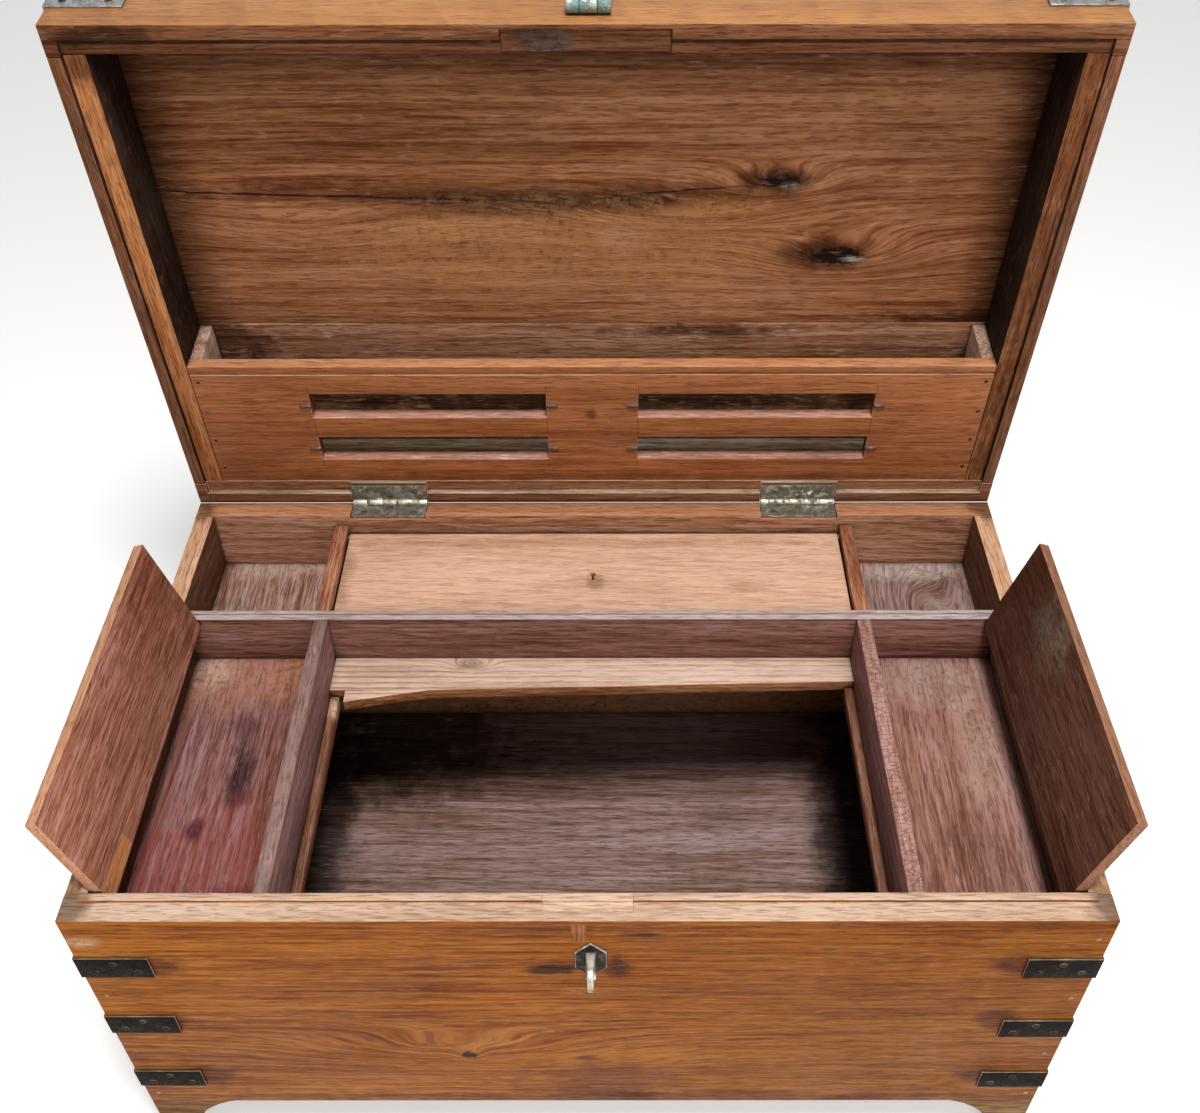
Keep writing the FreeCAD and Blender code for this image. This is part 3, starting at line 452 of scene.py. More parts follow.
def front_wood():
    """Front board, with soot by the staple, and a knot."""
    stains = ((chest_point(-30, FRONT_FACE, -70), (0.03, 0.05, 0.009), (0.16, 0.13, 0.11, 1)),
              (chest_point(24, FRONT_FACE, -66), (0.014, 0.05, 0.022), SOOT),
              (chest_point(38, FRONT_FACE, -19), (0.026, 0.05, 0.004), SOOT),
              (chest_point(10, FRONT_FACE, -262), (0.09, 0.05, 0.045), (0.6, 0.52, 0.46, 1)),
              (chest_point(-106, FRONT_FACE, -212), (0.009, 0.05, 0.007), (0.1, 0.08, 0.07, 1)),
              (chest_point(0, FRONT_FACE, -292), (0.5, 0.05, 0.012), (0.6, 0.52, 0.46, 1)),
              (chest_point(-3, FRONT_FACE, -218), (0.014, 0.05, 0.005), BROWN_STAIN))
    for side in (-1, 1):
        for down in (62, 152, 250):
            stains += ((chest_point(side * 346, FRONT_FACE, -down), (0.03, 0.05, 0.02), BROWN_STAIN),)
    dusts = ((chest_point(-392, FRONT_FACE, -30), (0.02, 0.05, 0.01), PALE_DUST, 0.6),
             (chest_point(-4, FRONT_FACE, -104), (0.03, 0.05, 0.006), tone(206, 160, 104), 0.3))
    smoke = ((chest_point(330, FRONT_FACE, -150), (0.42, 0.05, 0.5), (0.74, 0.72, 0.62, 1)),)
    knots = ((-0.106, rim_z - 0.212, 0.013, 0.01, 1.2, 0.3),
             (-0.12, rim_z - 0.204, 0.14, 0.034, 3.6, 0.0))
    return outside_teak("front_teak", "X", across=(0, 0, 1), stains=stains, dusts=dusts, smoke=smoke,
                        clouds=1.0, wander=0.5, veins=0.6, knots=knots)


def rim_wood(name, grain, **extra):
    settings = dict(rings=130, wander=0.7, bands=0.5, lines=0.8, light=1.15, deep=0.66, dirt=0.14,
                    wear=0.1, crevice=0.8, flecks=0.25, rough=(0.62, 0.82))
    settings.update(extra)
    return wood(name, grain, (0.2, 1.0, 0.2) if grain == "X" else (1.0, 0.2, 0.2), **settings)


def inside_wood(name, grain, across=(0.2, 0.2, 1.0), **extra):
    settings = dict(rings=75, wander=0.8, bands=0.9, lines=1.6, flecks=0.3, pores=0.55, dirt=0.3,
                    crevice=0.85, rough=(0.6, 0.85), relief=1.3)
    settings.update(extra)
    return wood(name, grain, across, **settings)


def lid_panel_wood():
    """Main plank of the lid: a long crack, two knots, smoky bands, and painted shadow along its top and sides."""
    up = lid_height
    knots = ((0.165, up(326), 0.045, 0.016, 1.3, 0.16), (0.225, up(249), 0.075, 0.026, 2.2, 0.16),
             (0.09, up(288), 0.11, 0.03, 1.5, 0.0), (-0.26, up(275), 0.10, 0.03, 0.9, 0.0))
    cracks = ((-0.38, -0.02, up(317), -0.036, 0.007, 0.0019), (0.0, 0.16, up(306), 0.11, 0.012, 0.0012))
    stains = ((lid_spot(-230, 316), (0.2, 0.06, 0.015), (0.5, 0.42, 0.36, 1)),
              (lid_spot(-50, 307), (0.16, 0.06, 0.019), (0.34, 0.29, 0.26, 1)),
              (lid_spot(85, 312), (0.11, 0.06, 0.018), (0.5, 0.42, 0.36, 1)),
              (lid_spot(165, 327), (0.05, 0.06, 0.02), (0.4, 0.34, 0.3, 1)),
              (lid_spot(212, 252), (0.065, 0.06, 0.025), (0.4, 0.33, 0.28, 1)),
              (lid_spot(352, 178), (0.1, 0.06, 0.015), SOOT),
              (lid_spot(330, 350), (0.16, 0.06, 0.16), (0.8, 0.76, 0.72, 1)))
    # The first soft mark is painted shadow of the front rail along the panel's top, the next two are painted
    # shadow of the side rails along its sides, and the rest are smoky marks.
    smoke = ((lid_spot(0, 486), (1.6, 0.06, 0.09), (0.17, 0.14, 0.13, 1)),
             (lid_spot(-402, 330), (0.075, 0.06, 0.6), (0.26, 0.22, 0.2, 1)),
             (lid_spot(402, 330), (0.07, 0.06, 0.6), (0.26, 0.22, 0.2, 1)),
             (lid_spot(-60, 306), (0.2, 0.06, 0.02), (0.5, 0.43, 0.38, 1)),
             (lid_spot(216, 251), (0.05, 0.06, 0.02), (0.35, 0.28, 0.24, 1)),
             (lid_spot(166, 327), (0.04, 0.06, 0.014), (0.45, 0.38, 0.33, 1)))
    dusts = ((lid_spot(28, 268), (0.03, 0.06, 0.016), PALE_DUST, 0.22),
             (lid_spot(177, 321), (0.016, 0.06, 0.005), tone(150, 132, 116), 0.8),
             (lid_spot(242, 246), (0.016, 0.06, 0.005), tone(190, 182, 174), 0.85),
             (lid_spot(-60, 262), (0.28, 0.06, 0.07), tone(194, 142, 96), 0.45),
             (lid_spot(-130, 278), (0.1, 0.06, 0.014), tone(204, 158, 98), 0.25),
             (lid_spot(110, 300), (0.06, 0.06, 0.014), tone(196, 146, 84), 0.35))
    return wood("lid_panel_wood", "X", (0, 0, 1), rings=60, wander=0.6, figure=0.2, veins=0.22, bands=0.9,
                lines=1.5, clouds=0.9, deep=0.42, flecks=0.3, pores=0.5, dirt=0.2, rough=(0.45, 0.68),
                lean=LID_LEAN, knots=knots, cracks=cracks, stains=stains, smoke=smoke, dusts=dusts)


def black_iron(name, mean=tone(25, 19, 16), rust=tone(52, 38, 30), metal=0.0):
    """Rusty black iron, rubbed grey on its edges."""
    f = Finish(name)
    blotch = f.noise(f.stretched((60, 60, 60)), detail=6, roughness=0.65)
    fine = f.noise(f.stretched((420, 420, 420)), detail=4)
    colour = f.ramp(blotch, (0.3, shade(mean, 0.5)), (0.55, mean), (0.74, rust))
    edge = f.spread(f.hollow(0.0006, inside=True), 0.3, 0.7)
    colour = f.mix(f.times(edge, f.spread(blotch, 0.4, 0.6), 0.5), colour, tone(150, 138, 122))
    f.bump(f.total(f.times(blotch, 0.6), f.times(fine, 0.5)), 0.0006)
    return f.done(colour, f.spread(fine, 0.3, 0.7, 0.55, 0.8), metal, gloss=0.06)


def aged_metal(name, metal, crust, share, rough=(0.28, 0.6), bright=0.9):
    """Old metal under a patchy crust."""
    f = Finish(name)
    blotch = f.noise(f.stretched((110, 110, 110)), detail=6, roughness=0.65)
    fine = f.noise(f.stretched((620, 620, 620)), detail=3)
    bare = 0.64 - share * 0.3
    cover = f.spread(f.total(blotch, f.times(f.hollow(0.003), 0.3)), bare, bare + 0.1)
    base = f.ramp(f.noise(f.stretched((180, 180, 180)), detail=4), (0.3, shade(metal, 0.6)), (0.6, metal))
    colour = f.mix(cover, base, f.ramp(fine, (0.35, shade(crust, 0.5)), (0.65, crust)))
    f.bump(f.total(f.times(cover, 0.5), f.times(fine, 0.35)), 0.0005)
    dull = f.spread(cover, 0.0, 1.0, rough[0], rough[1])
    return f.done(colour, dull, f.spread(cover, 0.0, 1.0, bright, 0.15))


def pick(piece):
    bpy.ops.object.select_all(action="DESELECT")
    piece.select_set(True)
    bpy.context.view_layer.objects.active = piece


def copy_of(node):
    """A merged copy of a solid, which stands for it."""
    source = frame["nodes"][node]
    piece = source.copy()
    piece.data = source.data.copy()
    piece.name = node + "_dressed"
    for key in list(piece.keys()):
        del piece[key]
    piece.parent = None
    piece.matrix_world = Matrix.Identity(4)
    bpy.context.scene.collection.objects.link(piece)
    pick(piece)
    bpy.ops.object.mode_set(mode="EDIT")
    bpy.ops.mesh.select_all(action="SELECT")
    bpy.ops.mesh.remove_doubles(threshold=1e-6)
    bpy.ops.mesh.dissolve_limited(angle_limit=math.radians(0.5))
    bpy.ops.object.mode_set(mode="OBJECT")
    return piece


def soften(piece, width, segments=2):
    """Round the edges of a board or plate a little."""
    bevel = piece.modifiers.new("edges", "BEVEL")
    bevel.width = width
    bevel.segments = segments
    bevel.limit_method = "ANGLE"
    bevel.angle_limit = math.radians(35)
    pick(piece)
    bpy.ops.object.modifier_apply(modifier="edges")
    bpy.ops.object.shade_smooth_by_angle(angle=math.radians(40))


def paint(piece, plain, *facing):
    """The plain finish all over, and others on the faces that look along their directions."""
    piece.data.materials.clear()
    piece.data.materials.append(plain)
    for _, finish in facing:
        piece.data.materials.append(finish)
    for face in piece.data.polygons:
        face.material_index = 0
        for index, (direction, _) in enumerate(facing, start=1):
            if face.normal.dot(direction) > 0.6:
                face.material_index = index
                break


def paint_where(piece, finish, test):
    """A finish on the faces that pass a test."""
    piece.data.materials.append(finish)
    index = len(piece.data.materials) - 1
    for face in piece.data.polygons:
        if test(face):
            face.material_index = index


def on_edge(axes):
    """Test for the narrow faces of a rounded edge, which look along none of the board's axes."""
    return lambda face: max(abs(face.normal.dot(axis)) for axis in axes) < 0.96


def settle(piece, node):
    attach(piece, body_of[node])
    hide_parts(node)


def board(node, plain, *facing, edge=0.9, worn=None, axes=BOX_AXES):
    piece = copy_of(node)
    soften(piece, edge * MM)
    paint(piece, plain, *facing)
    if worn:
        paint_where(piece, worn, on_edge(axes))
    settle(piece, node)
    return piece


def dress_box():
    front = front_wood()
    teak_y = outside_teak("end_teak", "Y")
    back = outside_teak("back_teak", "X")
    # The pale mark low on the back wall inside the well is painted light, not dust.
    wall = inside_wood("till_wall_wood", "X",
                       dusts=((chest_point(60, 225, -272), (0.6, 0.05, 0.05), tone(214, 156, 112), 0.9),))
    wall_y = inside_wood("end_wall_shaded_wood", "Y")
    corner_dirt = tuple((chest_point(side * 398, y, 0), (0.02, 0.03, 0.03), (0.4, 0.37, 0.35, 1))
                        for side in (-1, 1) for y in (-236, 240))
    front_rim = rim_wood("front_rim_wood", "X", stains=corner_dirt)
    back_rim = rim_wood("back_rim_wood", "X", stains=corner_dirt)
    side_rim = rim_wood("side_rim_wood", "Y", stains=corner_dirt)
    board("front_board", front, (UP, front_rim), (BACK, wall), edge=1.2)
    board("back_board", back, (UP, back_rim), (FRONT, wall), edge=0.2)
    for side, inner in (("left", RIGHT), ("right", LEFT)):
        board(side + "_end_board", teak_y, (UP, side_rim), (inner, wall_y))
    under = inside_wood("underside_wood", "X", across=(0.1, 1.0, 0.1))
    # The first mark is a stain; the two long dark strips along the well floor's sides are painted shadow under the
    # till floors.
    stains = ((chest_point(-215, 190, WELL_FLOOR), (0.17, 0.12, 0.05), (0.3, 0.3, 0.32, 1)),
              (chest_point(282, 0, WELL_FLOOR), (0.06, 0.5, 0.05), (0.25, 0.25, 0.25, 1)),
              (chest_point(-295, 0, WELL_FLOOR), (0.05, 0.4, 0.05), (0.3, 0.3, 0.3, 1)))
    well = inside_wood("well_floor_wood", "X", across=(0.1, 1.0, 0.1), bands=1.2, dirt=0.3, flecks=0.3,
                       stains=stains)
    for place in ("front", "back"):
        board(f"bottom_{place}_plank", under, (UP, well))
    foot = inside_wood("foot_wood", "X", dirt=0.5)
    for place in ("front_left", "front_right", "rear_left", "rear_right"):
        board(place + "_foot", foot, edge=1.5)
    patch = rim_wood("rim_patch_wood", "X", light=1.12, deep=0.6, dirt=0.1, flecks=0.1, crevice=0.5)
    board("front_rim_patch", patch, edge=0.4)
    board("keyhole_plug", outside_teak("plug_wood", "Z", lines=0.9, deep=0.6), edge=0.3)


def dress_dividers():
    worn = rim_wood("worn_edge_wood", "X", clouds=1.4, dirt=0.6)
    seam = (chest_point(0, 94, TILL_TOP), (0.5, 0.0006, 0.02), tone(84, 70, 66), 0.8)
    cross_top = rim_wood("cross_divider_top_wood", "X", flecks=0.5, patches=(seam,))
    cross_face = inside_wood("cross_divider_wood", "X")
    board("cross_divider", cross_face, (UP, cross_top), worn=worn, edge=0.8)
    side_face = inside_wood("side_divider_wood", "Y")
    for side, checks in (("left", 0.1), ("right", 0.5)):
        top = rim_wood(side + "_divider_top_wood", "Y", checks=checks, flecks=0.5, lines=1.2)
        board(side + "_divider", side_face, (UP, top), edge=0.7)
    rear_divider = inside_wood("rear_divider_wood", "Y")
    for side in ("left", "right"):
        board(f"rear_{side}_divider", rear_divider, edge=0.7)


def dress_till_floors():
    blue_black = (0.24, 0.24, 0.3, 1)
    stains = ((chest_point(-315, -58, TILL_FLOOR), (0.016, 0.045, 0.05), blue_black),
              (chest_point(-342, -118, TILL_FLOOR), (0.012, 0.016, 0.05), blue_black),
              (chest_point(-300, -190, TILL_FLOOR), (0.03, 0.03, 0.05), (0.5, 0.42, 0.46, 1)),
              (chest_point(-322, 0, TILL_FLOOR), (0.02, 0.02, 0.05), (0.6, 0.56, 0.6, 1)))
    dusts = ((chest_point(-340, 70, TILL_FLOOR), (0.12, 0.06, 0.05), tone(186, 130, 92), 0.75),
             (chest_point(-380, 80, TILL_FLOOR), (0.05, 0.04, 0.05), PALE_DUST, 0.6),
             (chest_point(-330, -160, TILL_FLOOR), (0.1, 0.09, 0.05), tone(150, 62, 62), 0.6))
    red_floor = inside_wood("left_till_floor_wood", "Y", across=(1.0, 0.1, 0.1), stains=stains,
                            dusts=dusts, dirt=0.3, bands=1.1)
    board("left_till_floor", red_floor, edge=0.4)
    dusts = ((chest_point(310, 60, TILL_FLOOR), (0.1, 0.045, 0.05), tone(186, 166, 156), 0.5),
             (chest_point(355, -20, TILL_FLOOR), (0.03, 0.12, 0.05), PALE_DUST, 0.3))
    pale_floor = inside_wood("right_till_floor_wood", "Y", across=(1.0, 0.1, 0.1), bands=1.3, lines=1.3,
                             dusts=dusts)
    board("right_till_floor", pale_floor, edge=0.4)
    dusts = ((chest_point(335, 212, TILL_FLOOR), (0.08, 0.02, 0.05), tone(206, 194, 186), 0.7),
             (chest_point(-330, 216, TILL_FLOOR), (0.08, 0.02, 0.05), tone(206, 186, 170), 0.6))
    stains = ((chest_point(335, 170, TILL_FLOOR), (0.12, 0.1, 0.05), (0.74, 0.78, 0.82, 1)),)
    knots = ((middle_y + 0.15, 0.372, 0.06, 0.03, 3.0, 0.0),)
    back_floor = inside_wood("back_till_floor_wood", "Y", across=(1.0, 0.1, 0.1), bands=1.2, dusts=dusts,
                             figure=0.2, stains=stains, knots=knots)
    board("back_till_floor", back_floor, edge=0.4)


def dress_rail_and_runners():
    stains = ((chest_point(-117, 79, TILL_FLOOR), (0.018, 0.01, 0.03), (0.62, 0.57, 0.52, 1)),
              (chest_point(-200, 66, TILL_FLOOR), (0.06, 0.016, 0.03), (0.86, 0.8, 0.78, 1)),
              (chest_point(-60, 50, TILL_FLOOR), (0.14, 0.007, 0.03), (0.8, 0.72, 0.72, 1)))
    rail_top = wood("rear_rail_wood", "X", (0, 1, 0), rings=140, figure=0.4, bands=0.5, lines=0.8,
                    light=1.1, deep=0.6, pores=0.25, flecks=0.1, dirt=0.12, crevice=0.4, rough=(0.6, 0.8),
                    knots=((-0.117, middle_y + 0.079, 0.018, 0.008, 3.2, 0.0),),
                    cracks=((-0.2505, -0.19, middle_y + 0.044, 0.03, 0.002, 0.0012),), stains=stains)
    rail_edge = inside_wood("rail_edge_wood", "X", dirt=0.4, flecks=0.1)
    board("rear_rail", rail_edge, (UP, rail_top), edge=0.5)
    pale_end = ((chest_point(-246, 32, -70), (0.03, 0.024, 0.05), tone(226, 190, 156), 0.95),)
    runner = inside_wood("runner_wood", "Y", across=(1, 0, 0), dusts=pale_end, flecks=0.15)
    board("left_runner", runner, edge=0.6)
    board("right_runner", runner, edge=0.6)


def dress_till_lids():
    stains = ((chest_point(148, 139, TILL_TOP), (0.03, 0.012, 0.05), (0.78, 0.76, 0.74, 1)),
              (chest_point(3, 149, TILL_TOP), (0.012, 0.014, 0.05), (0.6, 0.52, 0.46, 1)),
              (chest_point(-252, 150, TILL_TOP), (0.02, 0.06, 0.05), (0.7, 0.66, 0.62, 1)),
              (chest_point(0, 205, TILL_TOP), (0.3, 0.01, 0.05), (0.8, 0.74, 0.68, 1)))
    centre = wood("centre_till_lid_wood", "X", (0.1, 1.0, 0.1), rings=95, wander=0.7, bands=0.4,
                  lines=0.8, light=1.12, deep=0.72, pores=0.25, flecks=0.25, dirt=0.06, stains=stains,
                  rough=(0.5, 0.7))
    board("centre_till_lid", centre, edge=0.7)
    for side, way in (("left", -1), ("right", 1)):
        dusts = ((chest_point(way * 421, -10, 62), (0.05, 0.06, 0.05), tone(150, 140, 122), 0.5),)
        stains = ((chest_point(way * 400, 60, 40), (0.05, 0.1, 0.1), (0.7, 0.62, 0.56, 1)),)
        patches = ()
        if side == "left":
            dusts = ((chest_point(-446, -180, 110), (0.06, 0.05, 0.04), tone(176, 160, 146), 0.5),)
            patches = ((chest_point(-382, -196, -12), (0.03, 0.03, 0.012), tone(206, 138, 76), 0.5),)
        face = inside_wood(side + "_till_lid_wood", "Y", across=(0.5, 0.1, 1.0), flecks=0.3, dusts=dusts,
                           stains=stains, patches=patches, rough=(0.5, 0.75))
        edge = rim_wood(side + "_till_lid_edge_wood", "Y", flecks=0.25, dirt=0.4)
        free_edge = Vector((way * -math.cos(TILL_TURN), 0, math.sin(TILL_TURN)))
        board(side + "_till_lid", face, (free_edge, edge), (FRONT, edge), edge=0.7)


def close_slit(rail):
    """Draw the lid's back face out a hair, so that the open lid bears on the box."""
    pick(rail)
    for part in (rail.data.polygons, rail.data.edges):
        part.foreach_set("select", [False] * len(part))
    for vertex in rail.data.vertices:
        vertex.select = vertex.co.dot(LID_UP) < lid_height(0.6)
    bpy.ops.object.mode_set(mode="EDIT")
    bpy.ops.transform.translate(value=LID_UP * -MM)
    bpy.ops.object.mode_set(mode="OBJECT")


def dress_lid_top():
    outer = outside_teak("lid_top_wood", "X", lean=LID_LEAN)
    panel = lid_panel_wood()
    stains = ((lid_spot(-378, 150), (0.09, 0.06, 0.05), SOOT),
              (lid_spot(-280, 118), (0.13, 0.06, 0.02), SOOT),
              (lid_spot(104, 164), (0.12, 0.06, 0.01), SOOT),
              (lid_spot(385, 130), (0.05, 0.06, 0.04), SOOT),
              (lid_spot(0, 88), (0.8, 0.06, 0.04), (0.25, 0.22, 0.2, 1)))
    rear = inside_wood("lid_rear_plank_wood", "X", across=(0, 0, 1), bands=1.1, stains=stains, flecks=0.5,
                       veins=0.3, lean=LID_LEAN)
    board("lid_main_plank", outer, (LID_RIM, panel), edge=1.2)
    board("lid_rear_plank", outer, (LID_RIM, rear), edge=1.2)


def dress_lid_rails(worn):
    left_grime = (lid_spot(-370, 489, 0), (0.06, 0.03, 0.014), SOOT)
    strike_grime = (lid_spot(-34, 484, 8), (0.034, 0.02, 0.02), (0.45, 0.45, 0.46, 1))
    strike_dust = (lid_spot(-30, 480, 8), (0.03, 0.02, 0.014), tone(140, 130, 124), 0.4)
    # Painted shadow line under the step of the front rail's rebate.
    rebate_shadow_line = (lid_spot(0, 482.6, 5), (0.394, 0.002, 0.0015), DARK_GRIME_AND_SHADE, 0.8)
    band = inside_wood("lid_rim_wood", "X", across=(0, 0, 1), lean=LID_LEAN, flecks=0.25,
                       stains=(left_grime, strike_grime), dusts=(strike_dust,), patches=(rebate_shadow_line,))
    band_y = inside_wood("lid_side_rim_wood", "Z", across=(1, 0, 0), dirt=0.5, lean=LID_LEAN)
    inner_band = inside_wood("lid_band_wood", "Z", across=(1, 0, 0), lean=LID_LEAN,
                             stains=((lid_spot(-382, 462, 0), (0.02, 0.03, 0.02), SOOT),
                                     (lid_spot(384, 280, 0), (0.024, 0.03, 0.5), (0.42, 0.4, 0.42, 1))))
    face = outside_teak("lid_front_face_wood", "X", lean=LID_LEAN, bands=0.6, lines=0.8, light=1.2,
                        deep=0.6, flecks=0.08, wear=0.05, rough=(0.36, 0.5), gloss=0.5)
    inner = inside_wood("lid_inner_wall_wood", "X", across=(0, 1, 0), lean=LID_LEAN)
    inner_y = inside_wood("lid_inner_side_grime_and_shade_wood", "Z", across=(0, 1, 0), lean=LID_LEAN)
    ledge = inside_wood("lid_ledge_wood", "X", across=(0, 1, 0), lean=LID_LEAN)
    outer_y = outside_teak("lid_end_wood", "Z", lean=LID_LEAN)
    board("lid_front_rail", inner, (LID_RIM, band), (LID_UP, face), edge=0.8)
    back_rail = board("lid_back_rail", inner, (LID_RIM, band), (-LID_UP, face), (LID_UP, ledge), edge=0.4,
                      worn=worn, axes=LID_AXES)
    close_slit(back_rail)
    side_edge = HINGE.dot(LID_RIM) - 3 * MM
    for side, outward in (("left", LEFT), ("right", RIGHT)):
        piece = board(f"lid_{side}_rail", inner_y, (LID_RIM, band_y), (outward, outer_y), edge=1.0)
        paint_where(piece, inner_band, lambda part: part.normal.dot(LID_RIM) > 0.9
                    and part.center.dot(LID_RIM) < side_edge)


def dress_rack(worn):
    marks = tuple((lid_spot(side * (157 + end * 113), 97, 6), (0.0004, 0.02, 0.052), DARK_GRIME_AND_SHADE, 0.5)
                  for side in (-1, 1) for end in (-1, 1))
    rack = wood("rack_wood", "X", (0, 0, 1), rings=70, wander=1.0, bands=0.8, lines=1.0, light=1.25,
                deep=0.55, flecks=0.14, pores=0.4, dirt=0.16, patches=marks, lean=LID_LEAN,
                rough=(0.42, 0.62),
                stains=((lid_spot(0, 113, 6), (0.008, 0.03, 0.01), BROWN_STAIN),
                        (lid_spot(0, 30, 6), (0.5, 0.03, 0.006), (0.6, 0.55, 0.52, 1))))
    sill = rim_wood("slot_sill_wood", "X", flecks=0.9, dirt=0.4, lines=1.4, lean=LID_LEAN)
    rack_top = rim_wood("rack_top_wood", "X", lean=LID_LEAN, dirt=0.25, flecks=0.2)
    piece = board("rack_front_board", rack, (LID_UP, rack_top), edge=0.9, worn=worn, axes=LID_AXES)
    paint_where(piece, sill, lambda part: part.normal.dot(LID_UP) > 0.6
                and part.center.dot(LID_UP) < lid_height(SLOTS_TOP))
    grey_end = inside_wood("rack_end_wood", "Z", lean=LID_LEAN)
    for side in ("left", "right"):
        board(f"rack_{side}_end", grey_end)


def dress_lid():
    worn = rim_wood("worn_lid_edge_wood", "X", clouds=1.2, dirt=0.7, crevice=0.3, lean=LID_LEAN)
    dress_lid_top()
    dress_lid_rails(worn)
    dress_rack(worn)


def copy_to(piece, name, move):
    """A copy of a finished piece, with its own mesh, moved."""
    twin = piece.copy()
    twin.data = piece.data.copy()
    twin.data.transform(Matrix.Translation(move))
    twin.name = name
    bpy.context.scene.collection.objects.link(twin)
    return twin


PIN_RADIUS = 2.6
PIN_LENGTH = 11
PIN_DEPTH = 6.6


def slot_pins():
    """Small iron pins let into the rack at the ends of its slots."""
    places = [(x, v) for v in (69, 124) for x in (-275, -39, 39, 275)]
    first = lid_point(*places[0], PIN_DEPTH)
    bpy.ops.object.select_all(action="DESELECT")
    bpy.ops.mesh.primitive_cylinder_add(vertices=12, radius=PIN_RADIUS * MM, depth=PIN_LENGTH * MM,
                                        location=first, rotation=(0, math.radians(90), 0))
    pin = bpy.context.object
    pin.name = "rack_pin_1"
    bpy.ops.object.mode_set(mode="EDIT")
    bpy.ops.mesh.select_all(action="DESELECT")
    bpy.ops.mesh.edges_select_sharp(sharpness=math.radians(60))
    bpy.ops.mesh.bevel(offset=0.7 * MM, segments=2)
    bpy.ops.object.mode_set(mode="OBJECT")
    bpy.ops.object.transform_apply(location=True, rotation=True, scale=True)
    bpy.ops.object.shade_smooth_by_angle(angle=math.radians(40))
    pin.data.materials.append(aged_metal("pin_metal", tone(120, 108, 96), tone(84, 66, 52), 0.8))
    pins = [pin] + [copy_to(pin, f"rack_pin_{number}", lid_point(x, v, PIN_DEPTH) - first)
                    for number, (x, v) in enumerate(places[1:], start=2)]
    for item in pins:
        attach(item, "lid")


def narrow_nose(loop):
    """Draw the staple's loop in towards its nose."""
    low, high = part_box("staple_loop")
    pick(loop)
    for part in (loop.data.polygons, loop.data.edges):
        part.foreach_set("select", [False] * len(part))
    for vertex in loop.data.vertices:
        vertex.select = vertex.co.y < low.y + 0.5 * (high.y - low.y)
    bpy.ops.object.mode_set(mode="EDIT")
    bpy.ops.transform.resize(value=(0.6, 1, 1), center_override=((low.x + high.x) / 2, 0, 0))
    bpy.ops.object.mode_set(mode="OBJECT")


def by_hinge(face):
    """Test for the faces about the lid's hinge line."""
    return math.hypot(face.center.y - HINGE.y, face.center.z - HINGE.z) < KNUCKLE_REACH


def dress_metal():
    iron = black_iron("strap_iron")
    rubbed = black_iron("rubbed_strap_edge", tone(132, 122, 108), tone(176, 164, 148), 0.3)
    lid_iron = aged_metal("lid_strap_metal", tone(150, 154, 160), tone(116, 116, 118), 0.45, (0.4, 0.6))
    nail_iron = black_iron("nail_iron", tone(48, 41, 37), tone(84, 72, 62), 0.4)
    small_nail = black_iron("carcass_nail_iron", tone(150, 132, 112), tone(196, 176, 150), 0.3)
    handle_iron = black_iron("handle_iron", tone(34, 29, 26))
    knuckle = aged_metal("knuckle_metal", tone(176, 175, 162), tone(108, 104, 96), 0.5, (0.4, 0.6), 0.7)
    leaf = aged_metal("hinge_leaf_metal", tone(170, 171, 160), tone(96, 96, 92), 0.7)
    leaf_edge = aged_metal("leaf_edge_metal", tone(196, 194, 182), tone(116, 112, 104), 0.45)
    screw = aged_metal("screw_metal", tone(150, 144, 124), tone(70, 64, 54), 0.5)
    hasp = aged_metal("hasp_metal", tone(148, 164, 162), tone(100, 136, 134), 0.6, (0.4, 0.62), 0.8)
    plate = black_iron("staple_plate_iron", tone(46, 43, 40), tone(120, 114, 104), 0.5)
    staple = aged_metal("staple_metal", tone(190, 188, 182), tone(134, 131, 124), 0.5, (0.5, 0.7), 0.45)
    lock = aged_metal("lock_brass", tone(178, 150, 92), tone(84, 76, 58), 0.5)
    board("box_straps", iron, edge=0.5, worn=rubbed)
    board("lid_straps", lid_iron, edge=0.4)
    board("staple_plate", plate, edge=0.6, worn=staple)
    narrow_nose(board("staple_loop", staple, edge=1.8))
    for side in ("left", "right"):
        board(side + "_handle_plate", handle_iron, edge=0.7)
        for end, axes in (("box", BOX_AXES), ("lid", LID_AXES)):
            piece = board(f"{side}_hinge_{end}_leaf", leaf, edge=0.3, worn=leaf_edge, axes=axes)
            paint_where(piece, knuckle, by_hinge)
    for node, metal, edge in (("hasp_plate", hasp, 0.3), ("hasp_strap", hasp, 0.5),
                              ("till_lock_case", lock, 0.4), ("till_lock_bolt", lock, 0.4)):
        board(node, metal, edge=edge)
    plain = (("box_strap_nails", nail_iron), ("lid_strap_nails", nail_iron), ("rack_nails", nail_iron),
             ("carcass_nails", small_nail), ("box_screws", screw), ("lid_screws", screw),
             ("hinge_pins", knuckle), ("hasp_pin", hasp), ("left_handle", handle_iron),
             ("right_handle", handle_iron))
    for node, metal in plain:
        mesh = frame["nodes"][node].data
        mesh.materials.clear()
        mesh.materials.append(metal)


def seen_rays(tree):
    """One for the rays that show the background, in view or mirrored, and none for those that light."""
    path = tree.nodes.new("ShaderNodeLightPath")
    seen = path.outputs["Is Camera Ray"]
    for other in ("Is Glossy Ray", "Is Transmission Ray"):
        either = tree.nodes.new("ShaderNodeMath")
        either.operation = "MAXIMUM"
        tree.links.new(seen, either.inputs[0])
        tree.links.new(path.outputs[other], either.inputs[1])
        seen = either.outputs[0]
    return seen


FLOOR_WIDTH = 30
FLOOR_DROP = 0.0005


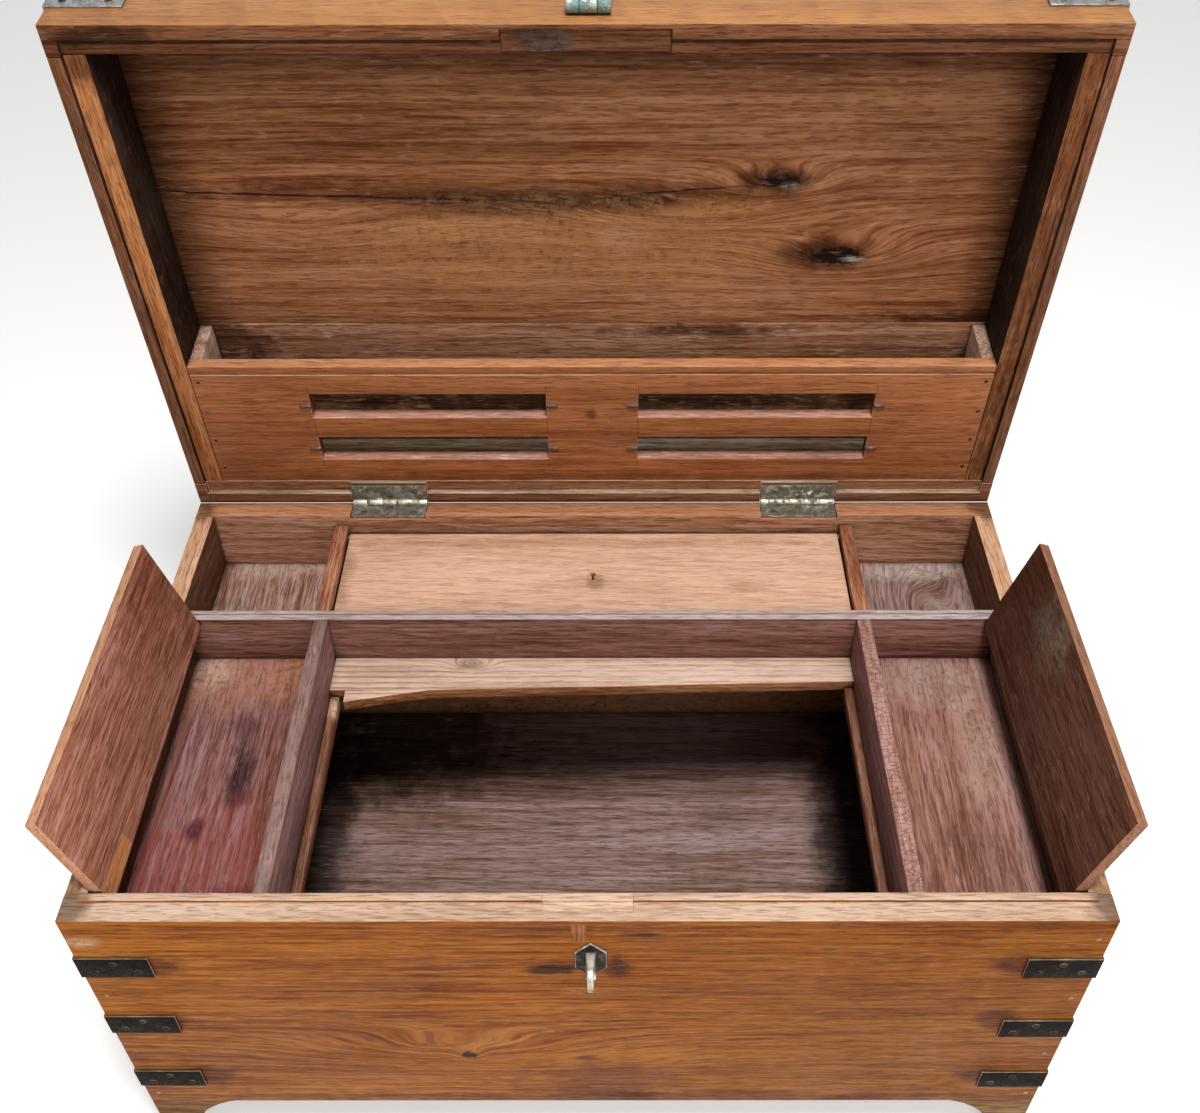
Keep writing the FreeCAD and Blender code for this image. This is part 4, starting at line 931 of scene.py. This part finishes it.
def floor():
    """Pale floor, far enough to fill the picture."""
    bpy.ops.object.select_all(action="DESELECT")
    bpy.ops.mesh.primitive_plane_add(size=FLOOR_WIDTH, location=(0, 0, -FLOOR_DROP))
    plane = bpy.context.object
    plane.name = "floor"
    material = bpy.data.materials.new("pale_floor")
    material.use_nodes = True
    tree = material.node_tree
    shader = tree.nodes["Principled BSDF"]
    shader.inputs["Base Color"].default_value = (0.9, 0.9, 0.9, 1)
    shader.inputs["Roughness"].default_value = 0.9
    shader.inputs["Emission Color"].default_value = (1, 1, 1, 1)
    glow = tree.nodes.new("ShaderNodeMath")
    glow.operation = "MULTIPLY"
    glow.inputs[1].default_value = 0.4
    tree.links.new(seen_rays(tree), glow.inputs[0])
    tree.links.new(glow.outputs[0], shader.inputs["Emission Strength"])
    plane.data.materials.append(material)


def lamp(name, place, target, size, power, colour):
    data = bpy.data.lights.new(name, "AREA")
    data.shape = "DISK"
    data.size = size
    data.energy = power
    data.color = colour
    item = bpy.data.objects.new(name, data)
    item.location = place
    item.rotation_euler = (Vector(target) - Vector(place)).to_track_quat("-Z", "Y").to_euler()
    bpy.context.scene.collection.objects.link(item)


def light():
    warm = (1.0, 0.985, 0.96)
    lamp("ceiling_lamp", (0.2, -0.75, 2.7), (0.1, -0.2, 0), 0.6, 66, warm)
    lamp("front_lamp", (0.6, -2.6, 1.5), (0, 0, 0.35), 1.8, 34, warm)
    world = bpy.data.worlds.new("studio")
    world.use_nodes = True
    tree = world.node_tree
    back = tree.nodes["Background"]
    strength = tree.nodes.new("ShaderNodeMapRange")
    strength.inputs["To Min"].default_value = 0.19
    strength.inputs["To Max"].default_value = 1.0
    tree.links.new(seen_rays(tree), strength.inputs["Value"])
    tree.links.new(strength.outputs[0], back.inputs["Strength"])
    back.inputs["Color"].default_value = (1, 1, 1, 1)
    bpy.context.scene.world = world


def camera():
    """The photograph's standpoint, above the front of the box and looking down into it."""
    pitch, yaw, roll = math.radians(44.80), math.radians(-0.14), math.radians(-0.16)
    forward = Vector((math.sin(yaw) * math.cos(pitch), math.cos(yaw) * math.cos(pitch), -math.sin(pitch)))
    right = Vector((math.cos(yaw), -math.sin(yaw), 0))
    up = right.cross(forward)
    level = math.cos(roll) * right + math.sin(roll) * up
    upright = math.cos(roll) * up - math.sin(roll) * right
    data = bpy.data.cameras.new("camera")
    data.sensor_fit = "HORIZONTAL"
    data.sensor_width = 36
    data.lens = 39.34
    data.shift_x = -0.0093
    data.shift_y = 0.0561
    item = bpy.data.objects.new("camera", data)
    turn = Matrix((level, upright, -forward)).transposed().to_4x4()
    standpoint = chest_point(20.1, -796.6, 862.4)
    item.matrix_world = Matrix.Translation(standpoint) @ turn
    bpy.context.scene.collection.objects.link(item)
    bpy.context.scene.camera = item


dress_box()
dress_dividers()
dress_till_floors()
dress_rail_and_runners()
dress_till_lids()
dress_lid()
slot_pins()
dress_metal()
floor()
light()
camera()
bpy.context.scene.view_settings.view_transform = "Standard"
